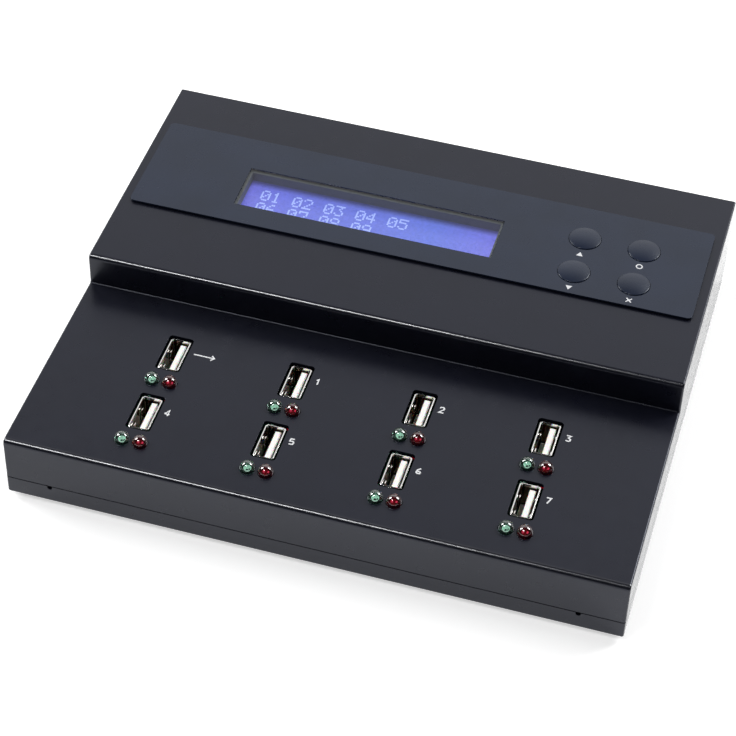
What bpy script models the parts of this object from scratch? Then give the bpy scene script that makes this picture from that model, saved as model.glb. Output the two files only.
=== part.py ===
"""USB flash drive duplicator: a stepped sheet-metal desk unit with eight upright USB sockets.

Metres, +Z up. X runs along the width and -Y is the user's edge. The origin is the middle of
the overall footprint, on the surface that the rubber feet stand on.
"""

import math

import bmesh
import bpy
from mathutils import Matrix, Vector

MM = 0.001

# Clearances and cutter sizes
SEAT_GAP = 0.3 * MM
SLIDE_GAP = 0.15 * MM
CUT_OVERRUN = 1.0 * MM
JOIN_DEPTH = 0.4 * MM

# Case: depths are measured from the front face, heights from the bottom of the tray
CASE_WIDTH = 185.0 * MM
LOWER_DECK_DEPTH = 70.5 * MM
UPPER_DECK_DEPTH = 85.5 * MM
CASE_DEPTH = LOWER_DECK_DEPTH + UPPER_DECK_DEPTH
FRONT_HEIGHT = 21.4 * MM
REAR_HEIGHT = 32.3 * MM
LIP_HEIGHT = 6.1 * MM
SHEET = 1.0 * MM
BEND_RADIUS = 1.5 * MM
CORNER_RADIUS = 0.6 * MM
FOOT_HEIGHT = 2.0 * MM
FOOT_RADIUS = 5.5 * MM
FOOT_INSET = 14.0 * MM
FOOT_ROUNDING = 0.5 * MM

# Tray: joggled flange inside the cover, rear panel, board standoffs, case screws
FLANGE_RISE = 7.0 * MM
REAR_FLANGE_DEPTH = 8.0 * MM
REAR_FLANGE_SIDE_INSET = 14.5 * MM
NOTCH_RADIUS = 0.8 * MM
NOTCH_SIDE_INSET = 13.5 * MM
STANDOFF_HEIGHT = 4.9 * MM
STANDOFF_RADIUS = 2.6 * MM
STANDOFF_SIDE_INSET = 8.0 * MM
STANDOFF_FRONT_INSET = 6.0 * MM
STANDOFF_REAR_INSET = 18.0 * MM
POST_RADIUS = 2.5 * MM
POST_SIDE_INSET = 7.0 * MM
POST_END_INSET = 8.0 * MM
SCREW_RADIUS = 1.6 * MM
SCREW_DEPTH = 10.0 * MM
SCREW_HEAD_RADIUS = 3.0 * MM
SCREW_HEAD_DEPTH = 0.7 * MM

# Main board and what stands on it
BOARD_THICKNESS = 1.6 * MM
BOARD_CORNER = 2.0 * MM
MAIN_BOARD_SIDE_MARGIN = 12.5 * MM
MAIN_BOARD_END_MARGIN = 6.0 * MM
CHIP_SIZE = 28.0 * MM
CHIP_HEIGHT = 3.4 * MM
CHIP_CHAMFER = 1.5 * MM
CHIP_PLACE_SHARES = (0.61, 0.6)
HUB_SIZE = 9.0 * MM
HUB_HEIGHT = 1.2 * MM
HUB_PLACE_SHARES = ((0.12, 0.45), (0.37, 0.45), (0.63, 0.45), (0.88, 0.45))
CAPACITOR_RADIUS = 3.2 * MM
CAPACITOR_HEIGHT = 7.5 * MM
CAPACITOR_PLACE_SHARES = ((0.88, 0.82), (0.88, 0.74), (0.55, 0.86))
COIL_SIZE = 12.0 * MM
COIL_HEIGHT = 6.0 * MM
COIL_CHAMFER = 2.5 * MM
COIL_PLACE_SHARES = ((0.80, 0.72),)

# USB sockets: two rows of four, long side front to back
PORT_PITCH = 38.1 * MM
PORT_COLUMN_COUNT = 4
PORT_ROW_DEPTHS = (48.65 * MM, 23.25 * MM)
PORT_HOLE_GAP = 0.75 * MM
PORT_HOLE_CORNER = 1.0 * MM
SHELL_WIDTH = 6.0 * MM
SHELL_LENGTH = 12.9 * MM
SHELL_WALL = 0.35 * MM
SHELL_CORNER = 0.7 * MM
SHELL_RECESS = 0.5 * MM
SHELL_FLARE = 0.1 * MM
SHELL_FLARE_HEIGHT = 0.6 * MM
FINGER_WIDTH = 1.5 * MM
FINGER_LENGTH = 5.0 * MM
FINGER_THICKNESS = 0.3 * MM
FINGER_SPACING = 6.6 * MM
FINGER_TOP_DEPTH = 2.2 * MM
FINGER_BEND = 0.55 * MM
FINGER_WINDOW_GAP = 0.35 * MM
TONGUE_WIDTH = 11.1 * MM
TONGUE_THICKNESS = 1.84 * MM
TONGUE_SIDE_GAP = 0.75 * MM
TONGUE_RECESS = 0.9 * MM
TONGUE_CHAMFER = 0.3 * MM
TONGUE_BASE_HEIGHT = 4.5 * MM
TONGUE_BASE_GAP = 0.3 * MM
CONTACT_WIDTH = 1.1 * MM
CONTACT_GROOVE = 0.3 * MM
CONTACT_TIP_MARGIN = 1.0 * MM
CONTACT_SHARES = (-0.315, -0.09, 0.09, 0.315)

# Status LEDs: a green and a red one in front of each socket
LED_RADIUS = 2.3 * MM
LED_PORT_OFFSET = 12.2 * MM
LED_PROTRUSION = 2.5 * MM
LED_LENGTH = 8.6 * MM
LED_RIM = 0.3 * MM
LED_RIM_HEIGHT = 1.0 * MM
LED_PITCH = 2 * (LED_RADIUS + LED_RIM) + SEAT_GAP
LED_LEAD = 0.5 * MM
LED_LEAD_SPACING = 2.54 * MM

# Control panel on the upper deck; its centre is a share of the deck's depth behind the riser
PANEL_SIDE_MARGIN = 3.25 * MM
PANEL_LENGTH = 39.6 * MM
PANEL_THICKNESS = 0.6 * MM
PANEL_CENTRE_SHARE = 0.554
PANEL_CORNER = 1.5 * MM

# Display: window in the panel, frame, metal bezel, glass and its board
WINDOW_WIDTH = 81.2 * MM
WINDOW_LENGTH = 16.0 * MM
WINDOW_FORWARD = 2.9 * MM
DISPLAY_DEPTH = 5.3 * MM
LENS_OVERLAP = 0.7 * MM
LENS_THICKNESS = 0.5 * MM
FRAME_WALL = 1.0 * MM
FRAME_FLANGE = 3.6 * MM
BEZEL_SIDE_BAND = 5.9 * MM
BEZEL_END_BAND = 5.0 * MM
BEZEL_SHEET = 0.5 * MM
BEZEL_HEIGHT = 6.8 * MM
BEZEL_WINDOW_MARGIN = 1.0 * MM
LCD_BOARD_SIDE_BAND = 7.0 * MM
LCD_BOARD_END_BAND = 5.0 * MM
LCD_HOLE_INSET = 2.6 * MM
STUD_RADIUS = 2.0 * MM

# Push buttons: two by two, each a domed cap with a plunger over a tactile switch
BUTTON_RADIUS = 5.0 * MM
BUTTON_RISE = 0.8 * MM
BUTTON_EDGE_RISE = 0.3 * MM
BUTTON_ROUNDING = 0.3 * MM
BUTTON_PITCH_X = 18.6 * MM
BUTTON_PITCH_Y = 15.7 * MM
BUTTONS_FORWARD = 2.3 * MM
BUTTON_FLANGE = 0.7 * MM
BUTTON_FLANGE_HEIGHT = 0.8 * MM
BUTTON_TRAVEL = 0.5 * MM
PLUNGER_RADIUS = 1.6 * MM
BUTTON_BOARD_BAND = 8.7 * MM
BUTTON_STUD_INSET = 2.2 * MM
BUTTON_BOARD_DROP = 6.8 * MM
TACT_SIZE = 6.0 * MM
TACT_HEIGHT = 3.6 * MM
TACT_CORNER = 0.4 * MM
TACT_BORE_DEPTH = 2.6 * MM
TACT_BORE_GAP = 0.3 * MM
PLUNGER_END_GAP = 0.4 * MM

# The width that the display board and the button board leave free: to the left and to the right
FREE_WIDTH_SHARES = (0.543, 0.34)

# Ribbon cable between the boards
RIBBON_WIDTH = 40.0 * MM
RIBBON_THICKNESS = 0.9 * MM
RIBBON_SHIFT = 21.8 * MM
RIBBON_LANDING = 9.0 * MM
RIBBON_RUN = 22.0 * MM
RIBBON_STEPS = 10

# Power inlet in the rear panel
INLET_SIDE_INSET = 62.5 * MM
INLET_SHOULDER = 0.5 * MM
INLET_LENGTH = 13.5 * MM
INLET_AXIS_HEIGHT = 6.5 * MM
INLET_NOSE_WALL = 1.1 * MM
INLET_NOSE_LENGTH = 2.2 * MM
INLET_BORE_RADIUS = 2.9 * MM
INLET_BORE_DEPTH = 10.0 * MM
INLET_PIN_RADIUS = 1.05 * MM
INLET_PIN_RECESS = 1.2 * MM
INLET_PIN_ROOT = 2.0 * MM

# Rocker power switch in the rear panel
SWITCH_SIDE_INSET = 30.5 * MM
SWITCH_CENTRE_HEIGHT = 16.4 * MM
SWITCH_FLANGE_BORDER = 1.2 * MM
SWITCH_FLANGE_THICKNESS = 1.6 * MM
SWITCH_SIDE_WALL = 0.8 * MM
SWITCH_PIVOT_WALL = 1.3 * MM
SWITCH_BODY_LENGTH = 12.5 * MM
SWITCH_CORNER = 0.8 * MM
ROCKER_RADIUS = 8.2 * MM
ROCKER_FACE_RISE = 4.0 * MM
ROCKER_BACK_DROP = 1.6 * MM
ROCKER_HEIGHT = 9.4 * MM
ROCKER_TILT = math.radians(10)
ROCKER_PIVOT_DEPTH = 3.8 * MM
ROCKER_PIN_RADIUS = 1.0 * MM
ROCKER_PIN_LENGTH = 0.9 * MM
ROCKER_EDGE = 0.3 * MM

# Facet counts
ROUND_STEPS = 20
SMALL_ROUND_STEPS = 12
LED_STEPS = 14
DOME_STEPS = 4
RIM_STEPS = 2
BEND_SEGMENTS = 3
CORNER_SEGMENTS = 3
ARC_STEPS = 6
LATHE_MERGE = 0.01 * MM

# Levels, from the floor
TRAY_BOTTOM = FOOT_HEIGHT
TRAY_FLOOR = TRAY_BOTTOM + SHEET
LIP_TOP = TRAY_BOTTOM + LIP_HEIGHT
COVER_FOOT = LIP_TOP + SEAT_GAP
LOWER_DECK = TRAY_BOTTOM + FRONT_HEIGHT
UPPER_DECK = TRAY_BOTTOM + REAR_HEIGHT
UPPER_UNDERSIDE = UPPER_DECK - SHEET
MAIN_BOARD_BOTTOM = TRAY_FLOOR + STANDOFF_HEIGHT + SEAT_GAP
MAIN_BOARD_TOP = MAIN_BOARD_BOTTOM + BOARD_THICKNESS
ON_MAIN_BOARD = MAIN_BOARD_TOP + SEAT_GAP
PANEL_BOTTOM = UPPER_DECK + SEAT_GAP
PANEL_TOP = PANEL_BOTTOM + PANEL_THICKNESS
GLASS_TOP = PANEL_TOP - DISPLAY_DEPTH
BEZEL_TOP = GLASS_TOP + SEAT_GAP + BEZEL_SHEET
BEZEL_BOTTOM = BEZEL_TOP - BEZEL_HEIGHT
LCD_BOARD_TOP = BEZEL_BOTTOM - SEAT_GAP
LCD_BOARD_BOTTOM = LCD_BOARD_TOP - BOARD_THICKNESS
BUTTON_BOARD_TOP = UPPER_UNDERSIDE - BUTTON_BOARD_DROP
SHELL_HEIGHT = LOWER_DECK - SHELL_RECESS - ON_MAIN_BOARD
LED_BODY_BOTTOM = LOWER_DECK + LED_PROTRUSION - LED_LENGTH

# Sizes that follow from the ones above
PORT_HOLE_WIDTH = SHELL_WIDTH + 2 * (SHELL_FLARE + PORT_HOLE_GAP)
PORT_HOLE_LENGTH = SHELL_LENGTH + 2 * (SHELL_FLARE + PORT_HOLE_GAP)
MAIN_BOARD_WIDTH = CASE_WIDTH - 2 * MAIN_BOARD_SIDE_MARGIN
MAIN_BOARD_LENGTH = CASE_DEPTH - 2 * MAIN_BOARD_END_MARGIN
PANEL_WIDTH = CASE_WIDTH - 2 * PANEL_SIDE_MARGIN
BEZEL_WIDTH = WINDOW_WIDTH + 2 * BEZEL_SIDE_BAND
BEZEL_LENGTH = WINDOW_LENGTH + 2 * BEZEL_END_BAND
LCD_BOARD_WIDTH = BEZEL_WIDTH + 2 * LCD_BOARD_SIDE_BAND
LCD_BOARD_LENGTH = BEZEL_LENGTH + 2 * LCD_BOARD_END_BAND
BUTTON_BOARD_WIDTH = BUTTON_PITCH_X + 2 * BUTTON_BOARD_BAND
BUTTON_BOARD_LENGTH = BUTTON_PITCH_Y + 2 * BUTTON_BOARD_BAND
INLET_NOSE_RADIUS = INLET_BORE_RADIUS + INLET_NOSE_WALL
INLET_WIDTH = 2 * (INLET_NOSE_RADIUS + INLET_SHOULDER)
INLET_HEIGHT = INLET_AXIS_HEIGHT + INLET_NOSE_RADIUS + INLET_SHOULDER
SWITCH_BODY_WIDTH = 2 * (ROCKER_RADIUS + SEAT_GAP + SWITCH_SIDE_WALL)
SWITCH_BODY_HEIGHT = ROCKER_HEIGHT + 2 * (SEAT_GAP + SWITCH_PIVOT_WALL)
SWITCH_FLANGE_WIDTH = SWITCH_BODY_WIDTH + 2 * SWITCH_FLANGE_BORDER
SWITCH_FLANGE_HEIGHT = SWITCH_BODY_HEIGHT + 2 * SWITCH_FLANGE_BORDER

# Places across the width
HALF_WIDTH = CASE_WIDTH / 2
FREE_WIDTH = CASE_WIDTH - LCD_BOARD_WIDTH - BUTTON_BOARD_WIDTH
WINDOW_X = -HALF_WIDTH + FREE_WIDTH * FREE_WIDTH_SHARES[0] + LCD_BOARD_WIDTH / 2
BUTTON_X = HALF_WIDTH - FREE_WIDTH * FREE_WIDTH_SHARES[1] - BUTTON_BOARD_WIDTH / 2
INLET_X = HALF_WIDTH - INLET_SIDE_INSET
SWITCH_X = HALF_WIDTH - SWITCH_SIDE_INSET

# Places along the depth: the raised end of the rocker is the rearmost point of the object
FLANGE_INSET = SHEET + SEAT_GAP
PANEL_FACE_DEPTH = CASE_DEPTH - FLANGE_INSET
SWITCH_FACE_DEPTH = PANEL_FACE_DEPTH + SEAT_GAP + SWITCH_FLANGE_THICKNESS
PIVOT_DEPTH = SWITCH_FACE_DEPTH - ROCKER_PIVOT_DEPTH


def rocker_tip_angle():
    """Angle, seen from the pivot, between the rocker's length and the tip of its level face."""
    slope = math.tan(ROCKER_TILT)
    a, b = 1 + slope**2, 2 * ROCKER_FACE_RISE * slope
    c = ROCKER_FACE_RISE**2 - ROCKER_RADIUS**2
    reach = (-b + math.sqrt(b * b - 4 * a * c)) / (2 * a)
    return math.atan2(ROCKER_FACE_RISE + reach * slope, reach)


REARMOST_DEPTH = PIVOT_DEPTH + ROCKER_RADIUS * math.sin(rocker_tip_angle() + ROCKER_TILT)
FRONT_Y = -REARMOST_DEPTH / 2
PANEL_CENTRE_Y = FRONT_Y + LOWER_DECK_DEPTH + UPPER_DECK_DEPTH * PANEL_CENTRE_SHARE

PART_COLLECTION = "usb_duplicator"
CUTTER_COLLECTION = "cutters"

# Colour, roughness and metallic value of each finish
FINISHES = {
    "black_steel": ((0.020, 0.020, 0.023), 0.38, 0.4),
    "panel_film": ((0.040, 0.045, 0.060), 0.42, 0.0),
    "clear_plastic": ((0.75, 0.80, 0.85), 0.05, 0.0),
    "dark_plastic": ((0.050, 0.055, 0.055), 0.50, 0.0),
    "bezel_steel": ((0.030, 0.030, 0.030), 0.45, 0.6),
    "display_blue": ((0.13, 0.17, 0.80), 0.25, 0.0),
    "circuit_board": ((0.02, 0.16, 0.07), 0.50, 0.0),
    "nickel": ((0.72, 0.70, 0.66), 0.22, 1.0),
    "ivory_plastic": ((0.80, 0.78, 0.70), 0.45, 0.0),
    "green_lens": ((0.02, 0.30, 0.16), 0.10, 0.0),
    "red_lens": ((0.40, 0.01, 0.02), 0.10, 0.0),
    "switch_black": ((0.015, 0.015, 0.015), 0.35, 0.0),
    "rubber": ((0.03, 0.03, 0.03), 0.85, 0.0),
    "ribbon_grey": ((0.35, 0.35, 0.36), 0.60, 0.0),
}


def depth_to_y(depth):
    """Y of a place given by its depth behind the front face."""
    return FRONT_Y + depth


def clear_scene():
    """Remove every object, and make the two collections."""
    for obj in list(bpy.data.objects):
        bpy.data.objects.remove(obj, do_unlink=True)
    for name in (PART_COLLECTION, CUTTER_COLLECTION):
        if name not in bpy.data.collections:
            bpy.context.scene.collection.children.link(bpy.data.collections.new(name))


def finish_material(finish):
    """Material with the colour, roughness and metallic value of a finish."""
    material = bpy.data.materials.get(finish)
    if material is None:
        colour, roughness, metallic = FINISHES[finish]
        material = bpy.data.materials.new(finish)
        material.use_nodes = True
        shader = material.node_tree.nodes["Principled BSDF"]
        shader.inputs["Base Color"].default_value = (*colour, 1)
        shader.inputs["Roughness"].default_value = roughness
        shader.inputs["Metallic"].default_value = metallic
    return material


def add_box(bm, low, high):
    """Add a box between two corners, and give its vertices."""
    low, high = Vector(low), Vector(high)
    matrix = Matrix.Translation((low + high) / 2) @ Matrix.Diagonal((*(high - low), 1))
    return bmesh.ops.create_cube(bm, size=1, matrix=matrix)["verts"]


def round_upright_edges(bm, verts, radius, segments=CORNER_SEGMENTS):
    """Round the edges that run along Z between the given vertices."""
    chosen = set(verts)
    edges = []
    for edge in {edge for vert in verts for edge in vert.link_edges}:
        start, end = edge.verts
        run = end.co - start.co
        upright = abs(run.z) > abs(run.x) + abs(run.y)
        if upright and start in chosen and end in chosen:
            edges.append(edge)
    bmesh.ops.bevel(bm, geom=edges, offset=radius, segments=segments, profile=0.5, affect="EDGES")


def add_plate(bm, low, high, radius, segments=CORNER_SEGMENTS):
    """Add a box whose upright edges are rounded."""
    round_upright_edges(bm, add_box(bm, low, high), radius, segments)


def add_column(bm, x, y, bottom, top, radius, top_radius=None, steps=ROUND_STEPS):
    """Add an upright cylinder or cone."""
    bmesh.ops.create_cone(
        bm,
        cap_ends=True,
        segments=steps,
        radius1=radius,
        radius2=radius if top_radius is None else top_radius,
        depth=top - bottom,
        matrix=Matrix.Translation((x, y, (bottom + top) / 2)),
    )


def add_rod(bm, x, z, start_y, end_y, radius, steps=ROUND_STEPS):
    """Add a cylinder along Y."""
    turn = Matrix.Rotation(math.pi / 2, 4, "X")
    bmesh.ops.create_cone(
        bm,
        cap_ends=True,
        segments=steps,
        radius1=radius,
        radius2=radius,
        depth=end_y - start_y,
        matrix=Matrix.Translation((x, (start_y + end_y) / 2, z)) @ turn,
    )


def centred(centre, width, length):
    """Low and high plan corners of a rectangle about a point."""
    x, y = centre
    return (x - width / 2, y - length / 2), (x + width / 2, y + length / 2)


def mesh_object(name, bm, collection, finish=None):
    """Turn a bmesh into an object in a collection."""
    mesh = bpy.data.meshes.new(name)
    bm.to_mesh(mesh)
    bm.free()
    obj = bpy.data.objects.new(name, mesh)
    bpy.data.collections[collection].objects.link(obj)
    if finish:
        mesh.materials.append(finish_material(finish))
    return obj


def part_object(name, bm, finish):
    """Object of the part itself."""
    return mesh_object(name, bm, PART_COLLECTION, finish)


def helper_object(name, bm):
    """Object that only cuts or joins another one."""
    obj = mesh_object(name, bm, CUTTER_COLLECTION)
    obj.hide_render = True
    obj.display_type = "WIRE"
    return obj


def combine(obj, other, operation):
    """Cut or join an object with another one."""
    modifier = obj.modifiers.new(f"{operation.lower()}_{other.name}", "BOOLEAN")
    modifier.operation = operation
    modifier.solver = "EXACT"
    modifier.object = other


def bake(obj):
    """Apply an object's modifiers to its mesh."""
    bpy.context.view_layer.update()
    depsgraph = bpy.context.evaluated_depsgraph_get()
    mesh = bpy.data.meshes.new_from_object(obj.evaluated_get(depsgraph), depsgraph=depsgraph)
    obj.modifiers.clear()
    obj.data = mesh


def shade_round(obj):
    """Shade smooth, with sharp edges where faces meet at more than 30 degrees."""
    obj.data.shade_smooth()
    obj.data.set_sharp_from_angle(angle=math.radians(30))


def place_copies(obj, places):
    """Give an object its first place, and a copy with the same mesh in each further one."""
    bake(obj)
    shade_round(obj)
    for index, (name, location) in enumerate(places):
        copy = obj if index == 0 else bpy.data.objects.new(name, obj.data)
        if index:
            bpy.data.collections[PART_COLLECTION].objects.link(copy)
        copy.name = name
        copy.location = location


def lathe(name, profile, steps, finish):
    """Turn a profile of (radius, height) pairs, outer side top to bottom, about Z."""
    mesh = bpy.data.meshes.new(name)
    points = [(radius, 0, height) for radius, height in profile]
    edges = [(index, index + 1) for index in range(len(points) - 1)]
    mesh.from_pydata(points, edges, [])
    mesh.materials.append(finish_material(finish))
    obj = bpy.data.objects.new(name, mesh)
    bpy.data.collections[PART_COLLECTION].objects.link(obj)
    screw = obj.modifiers.new("turn", "SCREW")
    screw.axis = "Z"
    screw.steps = steps
    screw.render_steps = steps
    screw.use_merge_vertices = True
    screw.merge_threshold = LATHE_MERGE
    screw.use_smooth_shade = True
    return obj


def port_places():
    """Number, X and Y of each socket, from the rear row's left end."""
    places = []
    for depth in PORT_ROW_DEPTHS:
        for column in range(PORT_COLUMN_COUNT):
            x = (column - (PORT_COLUMN_COUNT - 1) / 2) * PORT_PITCH
            places.append((len(places), x, depth_to_y(depth)))
    return places


def led_places():
    """Name suffix, X and Y of the LED pair of each socket."""
    places = []
    for number, x, y in port_places():
        places.append((f"green_{number}", x - LED_PITCH / 2, y - LED_PORT_OFFSET))
        places.append((f"red_{number}", x + LED_PITCH / 2, y - LED_PORT_OFFSET))
    return places


def button_places():
    """Name, X and Y of each push button."""
    names = ("up", "ok", "down", "esc")
    places = []
    for index, name in enumerate(names):
        x = BUTTON_X + (index % 2 - 1 / 2) * BUTTON_PITCH_X
        y = PANEL_CENTRE_Y - BUTTONS_FORWARD - (index // 2 - 1 / 2) * BUTTON_PITCH_Y
        places.append((name, x, y))
    return places


def corner_places(centre, width, length, inset):
    """Four points, each a given inset from the corners of a rectangle."""
    x, y = centre
    reach_x, reach_y = width / 2 - inset, length / 2 - inset
    return [(x + sx * reach_x, y + sy * reach_y) for sx in (-1, 1) for sy in (-1, 1)]


def window_centre():
    """Middle of the display window."""
    return WINDOW_X, PANEL_CENTRE_Y - WINDOW_FORWARD


def button_board_centre():
    """Middle of the button board."""
    return BUTTON_X, PANEL_CENTRE_Y - BUTTONS_FORWARD


def post_places():
    """Places of the four posts that the case screws enter."""
    x = HALF_WIDTH - POST_SIDE_INSET
    depths = (POST_END_INSET, CASE_DEPTH - POST_END_INSET)
    return [(side * x, depth_to_y(depth)) for side in (-1, 1) for depth in depths]


def standoff_places():
    """Places of the main board's standoffs."""
    x = MAIN_BOARD_WIDTH / 2 - STANDOFF_SIDE_INSET
    front = MAIN_BOARD_END_MARGIN + STANDOFF_FRONT_INSET
    rear = CASE_DEPTH - MAIN_BOARD_END_MARGIN - STANDOFF_REAR_INSET
    return [(side * x, depth_to_y(depth)) for side in (-1, 1) for depth in (front, CASE_DEPTH / 2, rear)]


def board_place(shares):
    """Place on the main board, from its shares of the board's width and length."""
    x = (shares[0] - 1 / 2) * MAIN_BOARD_WIDTH
    return x, depth_to_y(MAIN_BOARD_END_MARGIN + shares[1] * MAIN_BOARD_LENGTH)


def bend_points(before, corner, after, radius):
    """Arc that rounds a square corner of an outline, from one straight run to the next."""
    before, corner, after = Vector(before), Vector(corner), Vector(after)
    to_before, to_after = (before - corner).normalized(), (after - corner).normalized()
    centre = corner + (to_before + to_after) * radius
    turns = [math.pi / 2 * step / BEND_SEGMENTS for step in range(BEND_SEGMENTS + 1)]
    return [centre - (to_after * math.cos(turn) + to_before * math.sin(turn)) * radius for turn in turns]


def cover_outline(inset, overrun):
    """Outline of the stepped cover from the side, drawn in by an inset and run past its open ends."""
    front, riser = depth_to_y(0) + inset, depth_to_y(LOWER_DECK_DEPTH) + inset
    rear, foot = depth_to_y(CASE_DEPTH) + overrun, COVER_FOOT - overrun
    lower, upper = LOWER_DECK - inset, UPPER_DECK - inset
    return ((front, foot), (front, lower), (riser, lower), (riser, upper), (rear, upper), (rear, foot))


def stepped_solid(outline, bends, half_width):
    """Solid over an outline of the cover, with the radii of its front, riser base and riser top bends."""
    points = [Vector(outline[0])]
    for index, radius in enumerate(bends, start=1):
        points += bend_points(outline[index - 1], outline[index], outline[index + 1], radius)
    points += [Vector(corner) for corner in outline[len(bends) + 1:]]
    bm = bmesh.new()
    side = bm.faces.new([bm.verts.new((-half_width, *point)) for point in points])
    moved = bmesh.ops.extrude_face_region(bm, geom=[side])["geom"]
    new_verts = [item for item in moved if isinstance(item, bmesh.types.BMVert)]
    bmesh.ops.translate(bm, verts=new_verts, vec=(2 * half_width, 0, 0))
    bmesh.ops.recalc_face_normals(bm, faces=bm.faces)
    return bm


def round_side_edges(bm):
    """Rounds the cover's side edges, but not round its open foot and open rear."""
    rear = depth_to_y(CASE_DEPTH)
    edges = []
    for edge in bm.edges:
        first, second = (vert.co for vert in edge.verts)
        at_side = abs(first.x - second.x) < SHEET
        at_foot = max(first.z, second.z) < COVER_FOOT + SHEET / 2
        at_rear = min(first.y, second.y) > rear - SHEET / 2
        if at_side and not at_foot and not at_rear:
            edges.append(edge)
    bmesh.ops.bevel(bm, geom=edges, offset=CORNER_RADIUS, segments=2, profile=0.5, affect="EDGES")
    return bm


def cover_cutters():
    """Everything that is cut through the cover's decks."""
    bm = bmesh.new()
    low_z, high_z = LOWER_DECK - SHEET - CUT_OVERRUN, LOWER_DECK + CUT_OVERRUN
    for _, x, y in port_places():
        low, high = centred((x, y), PORT_HOLE_WIDTH, PORT_HOLE_LENGTH)
        add_plate(bm, (*low, low_z), (*high, high_z), PORT_HOLE_CORNER)
    for _, x, y in led_places():
        add_column(bm, x, y, low_z, high_z, LED_RADIUS + SLIDE_GAP, steps=LED_STEPS)
    low_z, high_z = UPPER_UNDERSIDE - CUT_OVERRUN, UPPER_DECK + CUT_OVERRUN
    margin = 2 * (FRAME_WALL + SEAT_GAP)
    low, high = centred(window_centre(), WINDOW_WIDTH + margin, WINDOW_LENGTH + margin)
    add_box(bm, (*low, low_z), (*high, high_z))
    for _, x, y in button_places():
        add_column(bm, x, y, low_z, high_z, BUTTON_RADIUS + BUTTON_FLANGE + SEAT_GAP)
    return helper_object("cover_openings", bm)


def cover_studs():
    """Posts and studs that hang from the decks."""
    bm = bmesh.new()
    root = SHEET / 2
    riser_y = depth_to_y(LOWER_DECK_DEPTH)
    for x, y in post_places():
        deck = LOWER_DECK if y < riser_y else UPPER_DECK
        add_column(bm, x, y, TRAY_FLOOR + SEAT_GAP, deck - root, POST_RADIUS, steps=SMALL_ROUND_STEPS)
    for x, y in corner_places(window_centre(), LCD_BOARD_WIDTH, LCD_BOARD_LENGTH, LCD_HOLE_INSET):
        low = LCD_BOARD_TOP + SEAT_GAP
        add_column(bm, x, y, low, UPPER_DECK - root, STUD_RADIUS, steps=SMALL_ROUND_STEPS)
    board = (button_board_centre(), BUTTON_BOARD_WIDTH, BUTTON_BOARD_LENGTH, BUTTON_STUD_INSET)
    for x, y in corner_places(*board):
        low = BUTTON_BOARD_TOP + SEAT_GAP
        add_column(bm, x, y, low, UPPER_DECK - root, STUD_RADIUS, steps=SMALL_ROUND_STEPS)
    return helper_object("cover_studs", bm)


def post_bores():
    """Screw bores up the case posts."""
    bm = bmesh.new()
    for x, y in post_places():
        low, high = TRAY_FLOOR - CUT_OVERRUN, TRAY_FLOOR + SCREW_DEPTH
        add_column(bm, x, y, low, high, SCREW_RADIUS, steps=SMALL_ROUND_STEPS)
    return helper_object("post_bores", bm)


def make_top_cover():
    """Folded cover with the stepped decks, its openings, studs and screw posts."""
    convex, concave = BEND_RADIUS, BEND_RADIUS - SHEET
    outer = stepped_solid(cover_outline(0, 0), (convex, concave, convex), HALF_WIDTH)
    cover = part_object("top_cover", round_side_edges(outer), "black_steel")
    room = stepped_solid(cover_outline(SHEET, CUT_OVERRUN), (concave, convex, concave), HALF_WIDTH - SHEET)
    combine(cover, helper_object("cover_room", room), "DIFFERENCE")
    combine(cover, cover_studs(), "UNION")
    combine(cover, cover_cutters(), "DIFFERENCE")
    combine(cover, post_bores(), "DIFFERENCE")
    bake(cover)
    shade_round(cover)


def tray_shell():
    """Floor and outer lip of the tray, with rounded corners and floor bends."""
    bm = bmesh.new()
    low = (-HALF_WIDTH, depth_to_y(0), TRAY_BOTTOM)
    high = (HALF_WIDTH, depth_to_y(CASE_DEPTH), LIP_TOP)
    add_plate(bm, low, high, CORNER_RADIUS)
    floor_edges = [edge for edge in bm.edges if all(vert.co.z < TRAY_FLOOR for vert in edge.verts)]
    bmesh.ops.bevel(bm, geom=floor_edges, offset=SHEET / 2, segments=2, profile=0.5, affect="EDGES")
    return bm


def inset_box(bm, inset, bottom, top):
    """Box over the case's plan, drawn in by an inset on every side."""
    low = (-HALF_WIDTH + inset, depth_to_y(inset), bottom)
    high = (HALF_WIDTH - inset, depth_to_y(CASE_DEPTH - inset), top)
    return add_box(bm, low, high)


def make_base_tray():
    """Tray with a joggled inner flange, a full-height rear panel, standoffs and screw holes."""
    tray = part_object("base_tray", tray_shell(), "black_steel")

    hollow = bmesh.new()
    inset_box(hollow, SHEET, TRAY_FLOOR, LIP_TOP - SHEET)
    combine(tray, helper_object("tray_hollow", hollow), "DIFFERENCE")

    mouth = bmesh.new()
    inset_box(mouth, FLANGE_INSET + SHEET, LIP_TOP - SHEET - SHEET / 2, LIP_TOP + CUT_OVERRUN)
    combine(tray, helper_object("tray_mouth", mouth), "DIFFERENCE")

    flange = bmesh.new()
    inset_box(flange, FLANGE_INSET, LIP_TOP - JOIN_DEPTH, LIP_TOP + FLANGE_RISE)
    ring = helper_object("tray_flange", flange)
    core = bmesh.new()
    inset_box(core, FLANGE_INSET + SHEET, TRAY_FLOOR, LIP_TOP + FLANGE_RISE + CUT_OVERRUN)
    combine(ring, helper_object("tray_flange_core", core), "DIFFERENCE")
    combine(tray, ring, "UNION")

    combine(tray, rear_panel(), "UNION")
    combine(tray, tray_standoffs(), "UNION")
    combine(tray, tray_cutters(), "DIFFERENCE")
    bake(tray)
    shade_round(tray)


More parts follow.
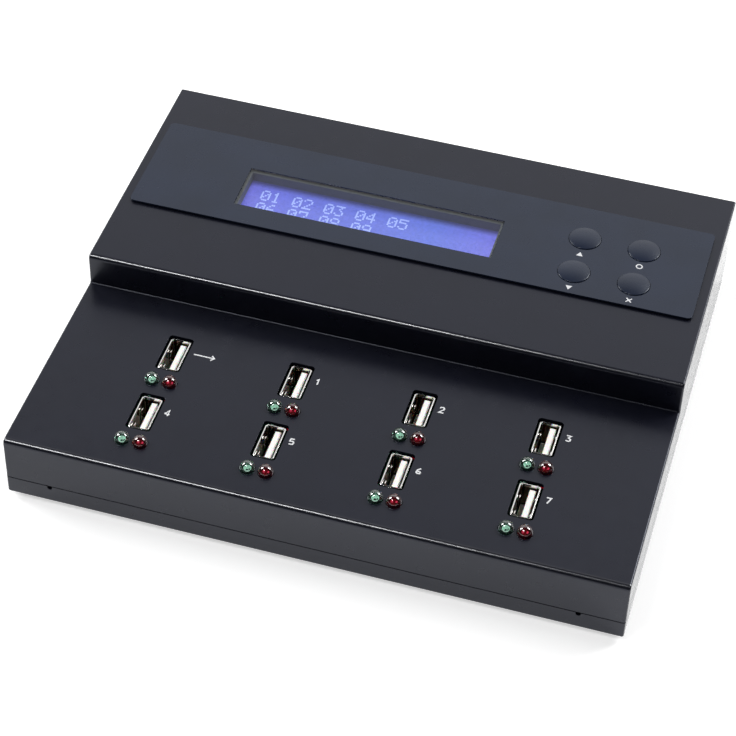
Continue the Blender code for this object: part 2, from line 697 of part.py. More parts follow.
def rear_panel():
    """Upright rear panel, and the flange at its top that the cover rests on."""
    bm = bmesh.new()
    half = HALF_WIDTH - FLANGE_INSET
    inner = PANEL_FACE_DEPTH - SHEET
    top = UPPER_UNDERSIDE - SEAT_GAP
    low = (-half, depth_to_y(inner), LIP_TOP)
    add_box(bm, low, (half, depth_to_y(PANEL_FACE_DEPTH), top))
    panel = helper_object("rear_panel", bm)
    bm = bmesh.new()
    half = HALF_WIDTH - REAR_FLANGE_SIDE_INSET
    low = (-half, depth_to_y(inner - REAR_FLANGE_DEPTH), top - SHEET)
    add_box(bm, low, (half, depth_to_y(inner + SHEET / 2), top))
    combine(panel, helper_object("rear_panel_flange", bm), "UNION")
    return panel


def tray_standoffs():
    """Standoffs under the main board."""
    bm = bmesh.new()
    for x, y in standoff_places():
        low, high = TRAY_FLOOR - JOIN_DEPTH, TRAY_FLOOR + STANDOFF_HEIGHT
        add_column(bm, x, y, low, high, STANDOFF_RADIUS, steps=SMALL_ROUND_STEPS)
    return helper_object("tray_standoffs", bm)


def tray_cutters():
    """Screw holes in the floor, notches in the lip and openings in the rear panel."""
    bm = bmesh.new()
    for x, y in post_places():
        low, high = TRAY_BOTTOM - CUT_OVERRUN, TRAY_FLOOR + CUT_OVERRUN
        add_column(bm, x, y, low, high, SCREW_RADIUS, steps=SMALL_ROUND_STEPS)
    for x, y in standoff_places():
        low, high = TRAY_FLOOR, TRAY_FLOOR + STANDOFF_HEIGHT + CUT_OVERRUN
        add_column(bm, x, y, low, high, SCREW_RADIUS, steps=SMALL_ROUND_STEPS)
    for side in (-1, 1):
        x, z = side * (HALF_WIDTH - NOTCH_SIDE_INSET), LIP_TOP - NOTCH_RADIUS / 2
        start, end = depth_to_y(-CUT_OVERRUN), depth_to_y(SHEET + SEAT_GAP / 2)
        add_rod(bm, x, z, start, end, NOTCH_RADIUS, steps=SMALL_ROUND_STEPS)
    start = depth_to_y(PANEL_FACE_DEPTH - SHEET - CUT_OVERRUN)
    end = depth_to_y(PANEL_FACE_DEPTH + CUT_OVERRUN)
    add_rod(bm, INLET_X, ON_MAIN_BOARD + INLET_AXIS_HEIGHT, start, end, INLET_NOSE_RADIUS + SEAT_GAP)
    half_x, half_z = SWITCH_BODY_WIDTH / 2 + SEAT_GAP, SWITCH_BODY_HEIGHT / 2 + SEAT_GAP
    middle = TRAY_BOTTOM + SWITCH_CENTRE_HEIGHT
    low = (SWITCH_X - half_x, start, middle - half_z)
    add_box(bm, low, (SWITCH_X + half_x, end, middle + half_z))
    cutters = helper_object("tray_openings", bm)

    heads = bmesh.new()
    for x, y in post_places():
        low, high = TRAY_BOTTOM - SCREW_HEAD_DEPTH, TRAY_BOTTOM + SCREW_HEAD_DEPTH
        wide = 2 * SCREW_HEAD_RADIUS - SCREW_RADIUS
        add_column(heads, x, y, low, high, wide, SCREW_RADIUS, steps=SMALL_ROUND_STEPS)
    combine(cutters, helper_object("screw_countersinks", heads), "UNION")
    return cutters


def make_feet():
    """Round rubber feet under the tray's corners."""
    profile = [
        (0, FOOT_HEIGHT - SEAT_GAP),
        (FOOT_RADIUS, FOOT_HEIGHT - SEAT_GAP),
        (FOOT_RADIUS, FOOT_ROUNDING),
        (FOOT_RADIUS - FOOT_ROUNDING, 0),
        (0, 0),
    ]
    foot = lathe("foot", profile, ROUND_STEPS, "rubber")
    centre = (0, depth_to_y(CASE_DEPTH / 2))
    corners = corner_places(centre, CASE_WIDTH, CASE_DEPTH, FOOT_INSET)
    names = ("foot_front_left", "foot_rear_left", "foot_front_right", "foot_rear_right")
    place_copies(foot, [(name, (x, y, 0)) for name, (x, y) in zip(names, corners)])


def drilled_board(name, low, high, bottom, holes, radius, parts_on_board=None):
    """Circuit board between two plan corners, with round holes and any parts soldered to it."""
    bm = bmesh.new()
    top = bottom + BOARD_THICKNESS
    add_plate(bm, (*low, bottom), (*high, top), BOARD_CORNER)
    board = part_object(name, bm, "circuit_board")
    drill = bmesh.new()
    for x, y in holes:
        add_column(drill, x, y, bottom - CUT_OVERRUN, top + CUT_OVERRUN, radius, steps=SMALL_ROUND_STEPS)
    combine(board, helper_object(f"{name}_drill", drill), "DIFFERENCE")
    if parts_on_board:
        combine(board, parts_on_board, "UNION")
    bake(board)
    shade_round(board)


def soldered_parts():
    """Hub chips, capacitors and a coil on the main board, each let into it a little."""
    bm = bmesh.new()
    bottom = MAIN_BOARD_TOP - JOIN_DEPTH
    for shares in HUB_PLACE_SHARES:
        low, high = centred(board_place(shares), HUB_SIZE, HUB_SIZE)
        add_box(bm, (*low, bottom), (*high, MAIN_BOARD_TOP + HUB_HEIGHT))
    for shares in CAPACITOR_PLACE_SHARES:
        top = MAIN_BOARD_TOP + CAPACITOR_HEIGHT
        add_column(bm, *board_place(shares), bottom, top, CAPACITOR_RADIUS)
    for shares in COIL_PLACE_SHARES:
        low, high = centred(board_place(shares), COIL_SIZE, COIL_SIZE)
        add_plate(bm, (*low, bottom), (*high, MAIN_BOARD_TOP + COIL_HEIGHT), COIL_CHAMFER, segments=1)
    return helper_object("soldered_parts", bm)


def make_boards():
    """Main board, display board and button board."""
    centre = (0, depth_to_y(CASE_DEPTH / 2))
    low, high = centred(centre, MAIN_BOARD_WIDTH, MAIN_BOARD_LENGTH)
    holes = standoff_places()
    drilled_board("main_board", low, high, MAIN_BOARD_BOTTOM, holes, SCREW_RADIUS, soldered_parts())

    size = (LCD_BOARD_WIDTH, LCD_BOARD_LENGTH)
    low, high = centred(window_centre(), *size)
    holes = corner_places(window_centre(), *size, LCD_HOLE_INSET)
    drilled_board("lcd_board", low, high, LCD_BOARD_BOTTOM, holes, STUD_RADIUS / 2)

    size = (BUTTON_BOARD_WIDTH, BUTTON_BOARD_LENGTH)
    low, high = centred(button_board_centre(), *size)
    holes = corner_places(button_board_centre(), *size, BUTTON_STUD_INSET)
    drilled_board("button_board", low, high, BUTTON_BOARD_TOP - BOARD_THICKNESS, holes, STUD_RADIUS / 2)


def make_controller_chip():
    """Flat square chip on the main board, with cut corners."""
    bm = bmesh.new()
    low, high = centred(board_place(CHIP_PLACE_SHARES), CHIP_SIZE, CHIP_SIZE)
    top = ON_MAIN_BOARD + CHIP_HEIGHT
    add_plate(bm, (*low, ON_MAIN_BOARD), (*high, top), CHIP_CHAMFER, segments=1)
    part_object("controller_chip", bm, "switch_black")


def make_ribbon_cable():
    """Flat cable that rises in an S from the main board to the display board."""
    bm = bmesh.new()
    low, high = ON_MAIN_BOARD, LCD_BOARD_BOTTOM - SEAT_GAP
    end_y = window_centre()[1] - LCD_BOARD_LENGTH / 2 + RIBBON_LANDING
    middle = WINDOW_X - RIBBON_SHIFT
    rows = []
    for step in range(RIBBON_STEPS + 1):
        share = step / RIBBON_STEPS
        y = end_y - RIBBON_RUN * (1 + math.cos(math.pi * share)) / 2
        z = low + (high - low) * share
        rows.append([bm.verts.new((middle + side * RIBBON_WIDTH / 2, y, z)) for side in (-1, 1)])
    for (left, right), (next_left, next_right) in zip(rows, rows[1:]):
        bm.faces.new((left, right, next_right, next_left))
    cable = part_object("ribbon_cable", bm, "ribbon_grey")
    solidify = cable.modifiers.new("thickness", "SOLIDIFY")
    solidify.thickness = RIBBON_THICKNESS
    solidify.offset = 0
    bake(cable)
    flatten_ends(cable, low, high)
    shade_round(cable)


def flatten_ends(obj, low, high):
    """Keep a mesh between two heights, so that its ends lie flat."""
    for vert in obj.data.vertices:
        vert.co.z = min(max(vert.co.z, low), high)


def shell_tube():
    """Open wall of a socket shell, flared at the mouth."""
    bm = bmesh.new()
    low, high = centred((0, 0), SHELL_WIDTH, SHELL_LENGTH)
    straight = SHELL_HEIGHT - SHELL_FLARE_HEIGHT
    add_plate(bm, (*low, 0), (*high, straight), SHELL_CORNER, segments=2)
    bm.normal_update()
    ends = [face for face in bm.faces if abs(face.normal.z) > abs(face.normal.x) + abs(face.normal.y)]
    bmesh.ops.delete(bm, geom=ends, context="FACES")
    mouth = [edge for edge in bm.edges if edge.is_boundary and edge.verts[0].co.z > straight / 2]
    raised = bmesh.ops.extrude_edge_only(bm, edges=mouth)["geom"]
    for vert in [item for item in raised if isinstance(item, bmesh.types.BMVert)]:
        vert.co.x *= (SHELL_WIDTH + 2 * SHELL_FLARE) / SHELL_WIDTH
        vert.co.y *= (SHELL_LENGTH + 2 * SHELL_FLARE) / SHELL_LENGTH
        vert.co.z = SHELL_HEIGHT
    bmesh.ops.recalc_face_normals(bm, faces=bm.faces)
    return bm


def finger_places():
    """Side and Y of each spring finger of a shell."""
    return [(side, end * FINGER_SPACING / 2) for side in (-1, 1) for end in (-1, 1)]


def make_usb_shells():
    """Metal shells with four spring fingers bent into the plug space."""
    shell = part_object("usb_shell", shell_tube(), "nickel")
    solidify = shell.modifiers.new("sheet", "SOLIDIFY")
    solidify.thickness = SHELL_WALL
    solidify.offset = -1
    solidify.use_even_offset = True

    top = SHELL_HEIGHT - FINGER_TOP_DEPTH
    root = top - FINGER_LENGTH
    half = FINGER_WIDTH / 2
    windows, fingers = bmesh.new(), bmesh.new()
    for side, y in finger_places():
        wall = side * (SHELL_WIDTH / 2 - SHELL_WALL / 2)
        reach = half + FINGER_WINDOW_GAP
        low = (wall - SHELL_WALL, y - reach, root)
        add_box(windows, low, (wall + SHELL_WALL, y + reach, top + FINGER_WINDOW_GAP))
        thickness = FINGER_THICKNESS / 2
        low = (wall - thickness, y - half, root - JOIN_DEPTH)
        verts = add_box(fingers, low, (wall + thickness, y + half, top))
        for vert in verts:
            if vert.co.z > root:
                vert.co.x -= side * FINGER_BEND
    combine(shell, helper_object("finger_windows", windows), "DIFFERENCE")
    combine(shell, helper_object("finger_strips", fingers), "UNION")
    places = [(f"usb_shell_{number}", (x, y, ON_MAIN_BOARD)) for number, x, y in port_places()]
    place_copies(shell, places)


def make_usb_tongues():
    """Insulators: a base block in the shell, and a tongue with four contact grooves."""
    inner_width, inner_length = SHELL_WIDTH - 2 * SHELL_WALL, SHELL_LENGTH - 2 * SHELL_WALL
    bm = bmesh.new()
    margin = 2 * TONGUE_BASE_GAP
    low, high = centred((0, 0), inner_width - margin, inner_length - margin)
    add_box(bm, (*low, 0), (*high, TONGUE_BASE_HEIGHT))
    tongue = part_object("usb_tongue", bm, "ivory_plastic")

    blade = bmesh.new()
    right = inner_width / 2 - TONGUE_SIDE_GAP
    left = right - TONGUE_THICKNESS
    top = SHELL_HEIGHT - TONGUE_RECESS
    low = (left, -TONGUE_WIDTH / 2, TONGUE_BASE_HEIGHT - JOIN_DEPTH)
    add_box(blade, low, (right, TONGUE_WIDTH / 2, top))
    tip = [edge for edge in blade.edges if all(vert.co.z > top - JOIN_DEPTH for vert in edge.verts)]
    bmesh.ops.bevel(blade, geom=tip, offset=TONGUE_CHAMFER, segments=1, affect="EDGES")
    combine(tongue, helper_object("tongue_blade", blade), "UNION")

    grooves = bmesh.new()
    for share in CONTACT_SHARES:
        y = share * inner_length
        low = (left - CONTACT_GROOVE, y - CONTACT_WIDTH / 2, TONGUE_BASE_HEIGHT + JOIN_DEPTH)
        high = (left + CONTACT_GROOVE, y + CONTACT_WIDTH / 2, top - CONTACT_TIP_MARGIN)
        add_box(grooves, low, high)
    combine(tongue, helper_object("contact_grooves", grooves), "DIFFERENCE")
    places = [(f"usb_tongue_{number}", (x, y, ON_MAIN_BOARD)) for number, x, y in port_places()]
    place_copies(tongue, places)


def make_leds():
    """LEDs: a domed lens on two leads that reach the main board."""
    centre = LED_LENGTH - LED_RADIUS
    dome = [math.pi / 2 * step / DOME_STEPS for step in range(DOME_STEPS + 1)]
    profile = [(LED_RADIUS * math.sin(turn), centre + LED_RADIUS * math.cos(turn)) for turn in dome]
    rim = LED_RADIUS + LED_RIM
    profile += [(LED_RADIUS, LED_RIM_HEIGHT), (rim, LED_RIM_HEIGHT), (rim, 0), (0, 0)]
    lead_length = LED_BODY_BOTTOM - ON_MAIN_BOARD
    for colour in ("green", "red"):
        led = lathe(f"led_{colour}", profile, LED_STEPS, f"{colour}_lens")
        leads = bmesh.new()
        for side in (-1, 1):
            x = side * LED_LEAD_SPACING / 2
            low, high = centred((x, 0), LED_LEAD, LED_LEAD)
            add_box(leads, (*low, -lead_length), (*high, LED_RIM_HEIGHT / 2))
        combine(led, helper_object(f"led_leads_{colour}", leads), "UNION")
        places = []
        for suffix, x, y in led_places():
            if suffix.startswith(colour):
                places.append((f"led_{suffix}", (x, y, LED_BODY_BOTTOM)))
        place_copies(led, places)


def make_control_panel():
    """Thin printed panel on the upper deck, with holes for the display and the buttons."""
    bm = bmesh.new()
    low, high = centred((0, PANEL_CENTRE_Y), PANEL_WIDTH, PANEL_LENGTH)
    add_plate(bm, (*low, PANEL_BOTTOM), (*high, PANEL_TOP), PANEL_CORNER)
    panel = part_object("control_panel", bm, "panel_film")
    cut = bmesh.new()
    margin = 2 * (LENS_OVERLAP + SLIDE_GAP)
    low, high = centred(window_centre(), WINDOW_WIDTH + margin, WINDOW_LENGTH + margin)
    bottom, top = PANEL_BOTTOM - CUT_OVERRUN, PANEL_TOP + CUT_OVERRUN
    add_box(cut, (*low, bottom), (*high, top))
    for _, x, y in button_places():
        add_column(cut, x, y, bottom, top, BUTTON_RADIUS + SLIDE_GAP)
    combine(panel, helper_object("panel_openings", cut), "DIFFERENCE")
    bake(panel)
    shade_round(panel)


def make_display():
    """Lens, plastic frame, metal bezel and glass of the display."""
    centre = window_centre()
    bm = bmesh.new()
    margin = 2 * LENS_OVERLAP
    low, high = centred(centre, WINDOW_WIDTH + margin, WINDOW_LENGTH + margin)
    add_box(bm, (*low, PANEL_BOTTOM), (*high, PANEL_BOTTOM + LENS_THICKNESS))
    part_object("lcd_lens", bm, "clear_plastic")

    bm = bmesh.new()
    flange_bottom, flange_top = BEZEL_TOP + SEAT_GAP, UPPER_UNDERSIDE - SEAT_GAP
    margin = 2 * (FRAME_WALL + FRAME_FLANGE)
    low, high = centred(centre, WINDOW_WIDTH + margin, WINDOW_LENGTH + margin)
    add_box(bm, (*low, flange_bottom), (*high, flange_top))
    frame = part_object("lcd_frame", bm, "dark_plastic")
    collar = bmesh.new()
    margin = 2 * FRAME_WALL
    low, high = centred(centre, WINDOW_WIDTH + margin, WINDOW_LENGTH + margin)
    add_box(collar, (*low, flange_top - JOIN_DEPTH), (*high, UPPER_DECK))
    combine(frame, helper_object("frame_collar", collar), "UNION")
    opening = bmesh.new()
    low, high = centred(centre, WINDOW_WIDTH, WINDOW_LENGTH)
    add_box(opening, (*low, flange_bottom - CUT_OVERRUN), (*high, UPPER_DECK + CUT_OVERRUN))
    combine(frame, helper_object("frame_opening", opening), "DIFFERENCE")
    bake(frame)

    bm = bmesh.new()
    low, high = centred(centre, BEZEL_WIDTH, BEZEL_LENGTH)
    add_box(bm, (*low, BEZEL_BOTTOM), (*high, BEZEL_TOP))
    bezel = part_object("lcd_bezel", bm, "bezel_steel")
    inner = bmesh.new()
    room = (BEZEL_WIDTH - 2 * BEZEL_SHEET, BEZEL_LENGTH - 2 * BEZEL_SHEET)
    low, high = centred(centre, *room)
    add_box(inner, (*low, BEZEL_BOTTOM - CUT_OVERRUN), (*high, BEZEL_TOP - BEZEL_SHEET))
    combine(bezel, helper_object("bezel_hollow", inner), "DIFFERENCE")
    view = bmesh.new()
    margin = 2 * BEZEL_WINDOW_MARGIN
    low, high = centred(centre, WINDOW_WIDTH + margin, WINDOW_LENGTH + margin)
    add_box(view, (*low, BEZEL_TOP - 2 * BEZEL_SHEET), (*high, BEZEL_TOP + CUT_OVERRUN))
    combine(bezel, helper_object("bezel_window", view), "DIFFERENCE")
    bake(bezel)

    bm = bmesh.new()
    low, high = centred(centre, room[0] - 2 * SEAT_GAP, room[1] - 2 * SEAT_GAP)
    add_box(bm, (*low, LCD_BOARD_TOP + SEAT_GAP), (*high, GLASS_TOP))
    part_object("lcd_glass", bm, "display_blue")


def button_profile(plunger_length):
    """Half outline of a button, from the top of the dome over the rounded rim to the plunger's end.

    Heights are measured from the panel's upper face.
    """
    crown_radius = BUTTON_RADIUS - BUTTON_ROUNDING
    crown_rise = BUTTON_RISE - BUTTON_EDGE_RISE
    sphere = (crown_radius**2 + crown_rise**2) / (2 * crown_rise)
    half_angle = math.asin(crown_radius / sphere)
    profile = []
    for step in range(DOME_STEPS + 1):
        turn = half_angle * step / DOME_STEPS
        profile.append((sphere * math.sin(turn), BUTTON_RISE - sphere * (1 - math.cos(turn))))
    for step in range(1, RIM_STEPS + 1):
        turn = math.pi / 2 * step / RIM_STEPS
        rim_drop = BUTTON_ROUNDING * (1 - math.cos(turn))
        profile.append((crown_radius + BUTTON_ROUNDING * math.sin(turn), BUTTON_EDGE_RISE - rim_drop))
    flange_top = -PANEL_THICKNESS - SEAT_GAP
    flange_bottom = flange_top - BUTTON_FLANGE_HEIGHT
    profile += [(BUTTON_RADIUS, flange_top), (BUTTON_RADIUS + BUTTON_FLANGE, flange_top)]
    profile += [(BUTTON_RADIUS + BUTTON_FLANGE, flange_bottom), (PLUNGER_RADIUS, flange_bottom)]
    profile += [(PLUNGER_RADIUS, -plunger_length), (0, -plunger_length)]
    return profile


def make_buttons():
    """Domed button caps, and the tactile switches that their plungers enter."""
    tact_bottom = BUTTON_BOARD_TOP + SEAT_GAP
    tact_top = tact_bottom + TACT_HEIGHT
    bore_bottom = tact_top - TACT_BORE_DEPTH
    plunger_end = bore_bottom + BUTTON_TRAVEL + PLUNGER_END_GAP
    button = lathe("button", button_profile(PANEL_TOP - plunger_end), ROUND_STEPS, "panel_film")
    places = [(f"button_{name}", (x, y, PANEL_TOP)) for name, x, y in button_places()]
    place_copies(button, places)

    bm = bmesh.new()
    low, high = centred((0, 0), TACT_SIZE, TACT_SIZE)
    add_plate(bm, (*low, 0), (*high, TACT_HEIGHT), TACT_CORNER, segments=1)
    tact = part_object("tact_switch", bm, "switch_black")
    bore = bmesh.new()
    radius = PLUNGER_RADIUS + TACT_BORE_GAP
    low, high = TACT_HEIGHT - TACT_BORE_DEPTH, TACT_HEIGHT + CUT_OVERRUN
    add_column(bore, 0, 0, low, high, radius, steps=SMALL_ROUND_STEPS)
    combine(tact, helper_object("tact_bore", bore), "DIFFERENCE")
    places = [(f"tact_switch_{name}", (x, y, tact_bottom)) for name, x, y in button_places()]
    place_copies(tact, places)


def make_dc_inlet():
    """Barrel power inlet: a block on the board, a nose through the panel, and the centre pin."""
    block_rear = PANEL_FACE_DEPTH - SHEET - SEAT_GAP
    nose_end = block_rear + INLET_NOSE_LENGTH
    axis_z = ON_MAIN_BOARD + INLET_AXIS_HEIGHT
    bm = bmesh.new()
    low = (INLET_X - INLET_WIDTH / 2, depth_to_y(block_rear - INLET_LENGTH), ON_MAIN_BOARD)
    add_box(bm, low, (INLET_X + INLET_WIDTH / 2, depth_to_y(block_rear), ON_MAIN_BOARD + INLET_HEIGHT))
    inlet = part_object("dc_inlet", bm, "switch_black")
    nose = bmesh.new()
    start, end = depth_to_y(block_rear - JOIN_DEPTH), depth_to_y(nose_end)
    add_rod(nose, INLET_X, axis_z, start, end, INLET_NOSE_RADIUS)
    combine(inlet, helper_object("inlet_nose", nose), "UNION")
    bore = bmesh.new()
    floor = nose_end - INLET_BORE_DEPTH
    add_rod(bore, INLET_X, axis_z, depth_to_y(floor), end + CUT_OVERRUN, INLET_BORE_RADIUS)
    combine(inlet, helper_object("inlet_bore", bore), "DIFFERENCE")
    socket = bmesh.new()
    start, end = depth_to_y(floor - INLET_PIN_ROOT), depth_to_y(floor + CUT_OVERRUN)
    radius = INLET_PIN_RADIUS + SLIDE_GAP
    add_rod(socket, INLET_X, axis_z, start, end, radius, steps=SMALL_ROUND_STEPS)
    combine(inlet, helper_object("inlet_pin_socket", socket), "DIFFERENCE")
    bake(inlet)
    shade_round(inlet)

    pin = bmesh.new()
    start, end = depth_to_y(floor - INLET_PIN_ROOT + SEAT_GAP), depth_to_y(nose_end - INLET_PIN_RECESS)
    add_rod(pin, INLET_X, axis_z, start, end, INLET_PIN_RADIUS, steps=SMALL_ROUND_STEPS)
    shade_round(part_object("dc_inlet_pin", pin, "nickel"))


def rocker_outline():
    """Plan outline of the rocker about its pivot: a V-shaped face, round ends and a flat back."""
    tip = rocker_tip_angle()
    back = math.asin(-ROCKER_BACK_DROP / ROCKER_RADIUS)
    points = [(0, ROCKER_FACE_RISE)]
    for step in range(ARC_STEPS + 1):
        turn = tip + (back - tip) * step / ARC_STEPS
        points.append((ROCKER_RADIUS * math.cos(turn), ROCKER_RADIUS * math.sin(turn)))
    mirrored = [(-x, y) for x, y in reversed(points[1:])]
    return points + mirrored


def make_power_switch():
    """Rocker switch: flanged frame in the panel, and the rocker on its two pivot pins."""
    middle = TRAY_BOTTOM + SWITCH_CENTRE_HEIGHT
    half_height = ROCKER_HEIGHT / 2

    def slab(bm, width, height, start, end):
        """Box about the switch's axis, between two depths."""
        low = (SWITCH_X - width / 2, depth_to_y(start), middle - height / 2)
        return add_box(bm, low, (SWITCH_X + width / 2, depth_to_y(end), middle + height / 2))

    bm = bmesh.new()
    flange_back = SWITCH_FACE_DEPTH - SWITCH_FLANGE_THICKNESS
    slab(bm, SWITCH_FLANGE_WIDTH, SWITCH_FLANGE_HEIGHT, flange_back, SWITCH_FACE_DEPTH)
    rim = [edge for edge in bm.edges if abs((edge.verts[0].co - edge.verts[1].co).y) > 0]
    bmesh.ops.bevel(bm, geom=rim, offset=SWITCH_CORNER, segments=2, profile=0.5, affect="EDGES")
    frame = part_object("power_switch_frame", bm, "switch_black")
    body = bmesh.new()
    body_back = flange_back - SWITCH_BODY_LENGTH
    slab(body, SWITCH_BODY_WIDTH, SWITCH_BODY_HEIGHT, body_back, flange_back + JOIN_DEPTH)
    combine(frame, helper_object("switch_body", body), "UNION")
    cavity = bmesh.new()
    width = 2 * (ROCKER_RADIUS + SEAT_GAP)
    swing = ROCKER_RADIUS * math.sin(ROCKER_TILT) + ROCKER_BACK_DROP
    cavity_back = PIVOT_DEPTH - swing - SEAT_GAP
    slab(cavity, width, ROCKER_HEIGHT + 2 * SEAT_GAP, cavity_back, SWITCH_FACE_DEPTH + CUT_OVERRUN)
    combine(frame, helper_object("switch_cavity", cavity), "DIFFERENCE")
    sockets = bmesh.new()
    reach = half_height + ROCKER_PIN_LENGTH + SEAT_GAP
    radius = ROCKER_PIN_RADIUS + SLIDE_GAP
    pivot = (SWITCH_X, depth_to_y(PIVOT_DEPTH), middle)
    add_column(sockets, pivot[0], pivot[1], middle - reach, middle + reach, radius)
    combine(frame, helper_object("pivot_sockets", sockets), "DIFFERENCE")
    bake(frame)
    shade_round(frame)

    bm = bmesh.new()
    face = bm.faces.new([bm.verts.new((x, y, -half_height)) for x, y in reversed(rocker_outline())])
    moved = bmesh.ops.extrude_face_region(bm, geom=[face])["geom"]
    new_verts = [item for item in moved if isinstance(item, bmesh.types.BMVert)]
    bmesh.ops.translate(bm, verts=new_verts, vec=(0, 0, ROCKER_HEIGHT))
    bmesh.ops.recalc_face_normals(bm, faces=bm.faces)
    rocker = part_object("power_rocker", bm, "switch_black")
    bevel = rocker.modifiers.new("edges", "BEVEL")
    bevel.width = ROCKER_EDGE
    bevel.segments = 1
    bevel.limit_method = "ANGLE"
    bevel.angle_limit = math.radians(60)
    pins = bmesh.new()
    reach = half_height + ROCKER_PIN_LENGTH
    add_column(pins, 0, 0, -reach, reach, ROCKER_PIN_RADIUS)
    combine(rocker, helper_object("rocker_pins", pins), "UNION")
    bake(rocker)
    shade_round(rocker)
    rocker.location = pivot
    rocker.rotation_euler = (0, 0, -ROCKER_TILT)


def main():
    """Build every piece."""
    clear_scene()
    make_top_cover()
    make_base_tray()
    make_feet()
    make_boards()
    make_controller_chip()
    make_ribbon_cable()
    make_usb_shells()
    make_usb_tongues()
    make_leds()
    make_control_panel()
    make_display()
    make_buttons()
    make_dc_inlet()
    make_power_switch()
    bpy.context.view_layer.update()


main()
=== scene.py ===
"""Looks of a stepped desk unit that copies USB flash drives, on a white studio floor."""

import logging
import math
from dataclasses import dataclass
from enum import Enum
from typing import Any, Iterable, Sequence

import bmesh
import bpy
from mathutils import Matrix, Vector


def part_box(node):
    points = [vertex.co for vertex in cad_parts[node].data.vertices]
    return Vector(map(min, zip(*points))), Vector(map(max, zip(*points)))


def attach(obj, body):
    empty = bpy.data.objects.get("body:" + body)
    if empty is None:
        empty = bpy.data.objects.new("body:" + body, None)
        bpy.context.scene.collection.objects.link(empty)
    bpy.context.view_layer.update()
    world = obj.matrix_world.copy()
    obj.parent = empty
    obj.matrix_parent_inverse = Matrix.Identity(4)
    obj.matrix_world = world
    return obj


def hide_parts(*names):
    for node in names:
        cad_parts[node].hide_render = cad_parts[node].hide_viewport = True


MM = 0.001
Colour = tuple[float, float, float]
Place = tuple[float, float, float]
Point = tuple[float, float]
Socket = bpy.types.NodeSocket

WHITE: Colour = (1.0, 1.0, 1.0)
PLASTIC_IOR = 1.5
NOISE_ENDS: Point = (0.3, 0.7)  # where nearly all of a noise lies
SOCKET_COUNT = 8
RING_STEPS = 28
SHARP_ANGLE = 35.0
BEVEL_SEGMENTS = 2
ON_AXIS = 0.0001 * MM  # a lathe's point nearer its axis than this lies on it
WELD_REACH = 0.001 * MM
FLAT_ANGLE = math.radians(0.5)
MITRE_LIMIT = 0.5  # a sharp corner is at most twice the stroke's width
OVERPRINT = 0.004 * MM  # a stroke that crosses another lies this much higher

LOG = logging.getLogger("duplicator")

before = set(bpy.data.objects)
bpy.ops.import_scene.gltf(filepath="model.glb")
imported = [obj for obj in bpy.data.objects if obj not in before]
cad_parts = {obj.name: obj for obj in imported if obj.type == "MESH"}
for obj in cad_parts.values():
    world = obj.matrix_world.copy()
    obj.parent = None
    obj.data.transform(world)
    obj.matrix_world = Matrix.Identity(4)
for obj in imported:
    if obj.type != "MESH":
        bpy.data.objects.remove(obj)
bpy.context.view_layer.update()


class Body(Enum):
    """The parts that move on their own."""

    CASE = "case"
    UP = "up_button"
    OK = "ok_button"
    DOWN = "down_button"
    ESC = "esc_button"
    ROCKER = "rocker"


def shade(colour: Colour, factor: float) -> Colour:
    """A darker or paler colour, at most 1 in each channel."""
    return tuple(min(c * factor, 1.0) for c in colour)


def circle(steps: int, radius: float, centre: Point = (0.0, 0.0)) -> list[Point]:
    """Points round a circle, anticlockwise from +X."""
    turns = [2 * math.pi * k / steps for k in range(steps)]
    return [(centre[0] + radius * math.cos(t), centre[1] + radius * math.sin(t)) for t in turns]


def middle_of(node: str) -> Vector:
    """Middle of a solid's box."""
    low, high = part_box(node)
    return (low + high) / 2


def put(name: str, data: bpy.types.ID) -> bpy.types.Object:
    """Puts new data into the scene.

    Args:
        name: the object's name.
        data: its mesh, lamp or camera.

    Returns:
        The object.
    """
    item = bpy.data.objects.new(name, data)
    bpy.context.scene.collection.objects.link(item)
    return item


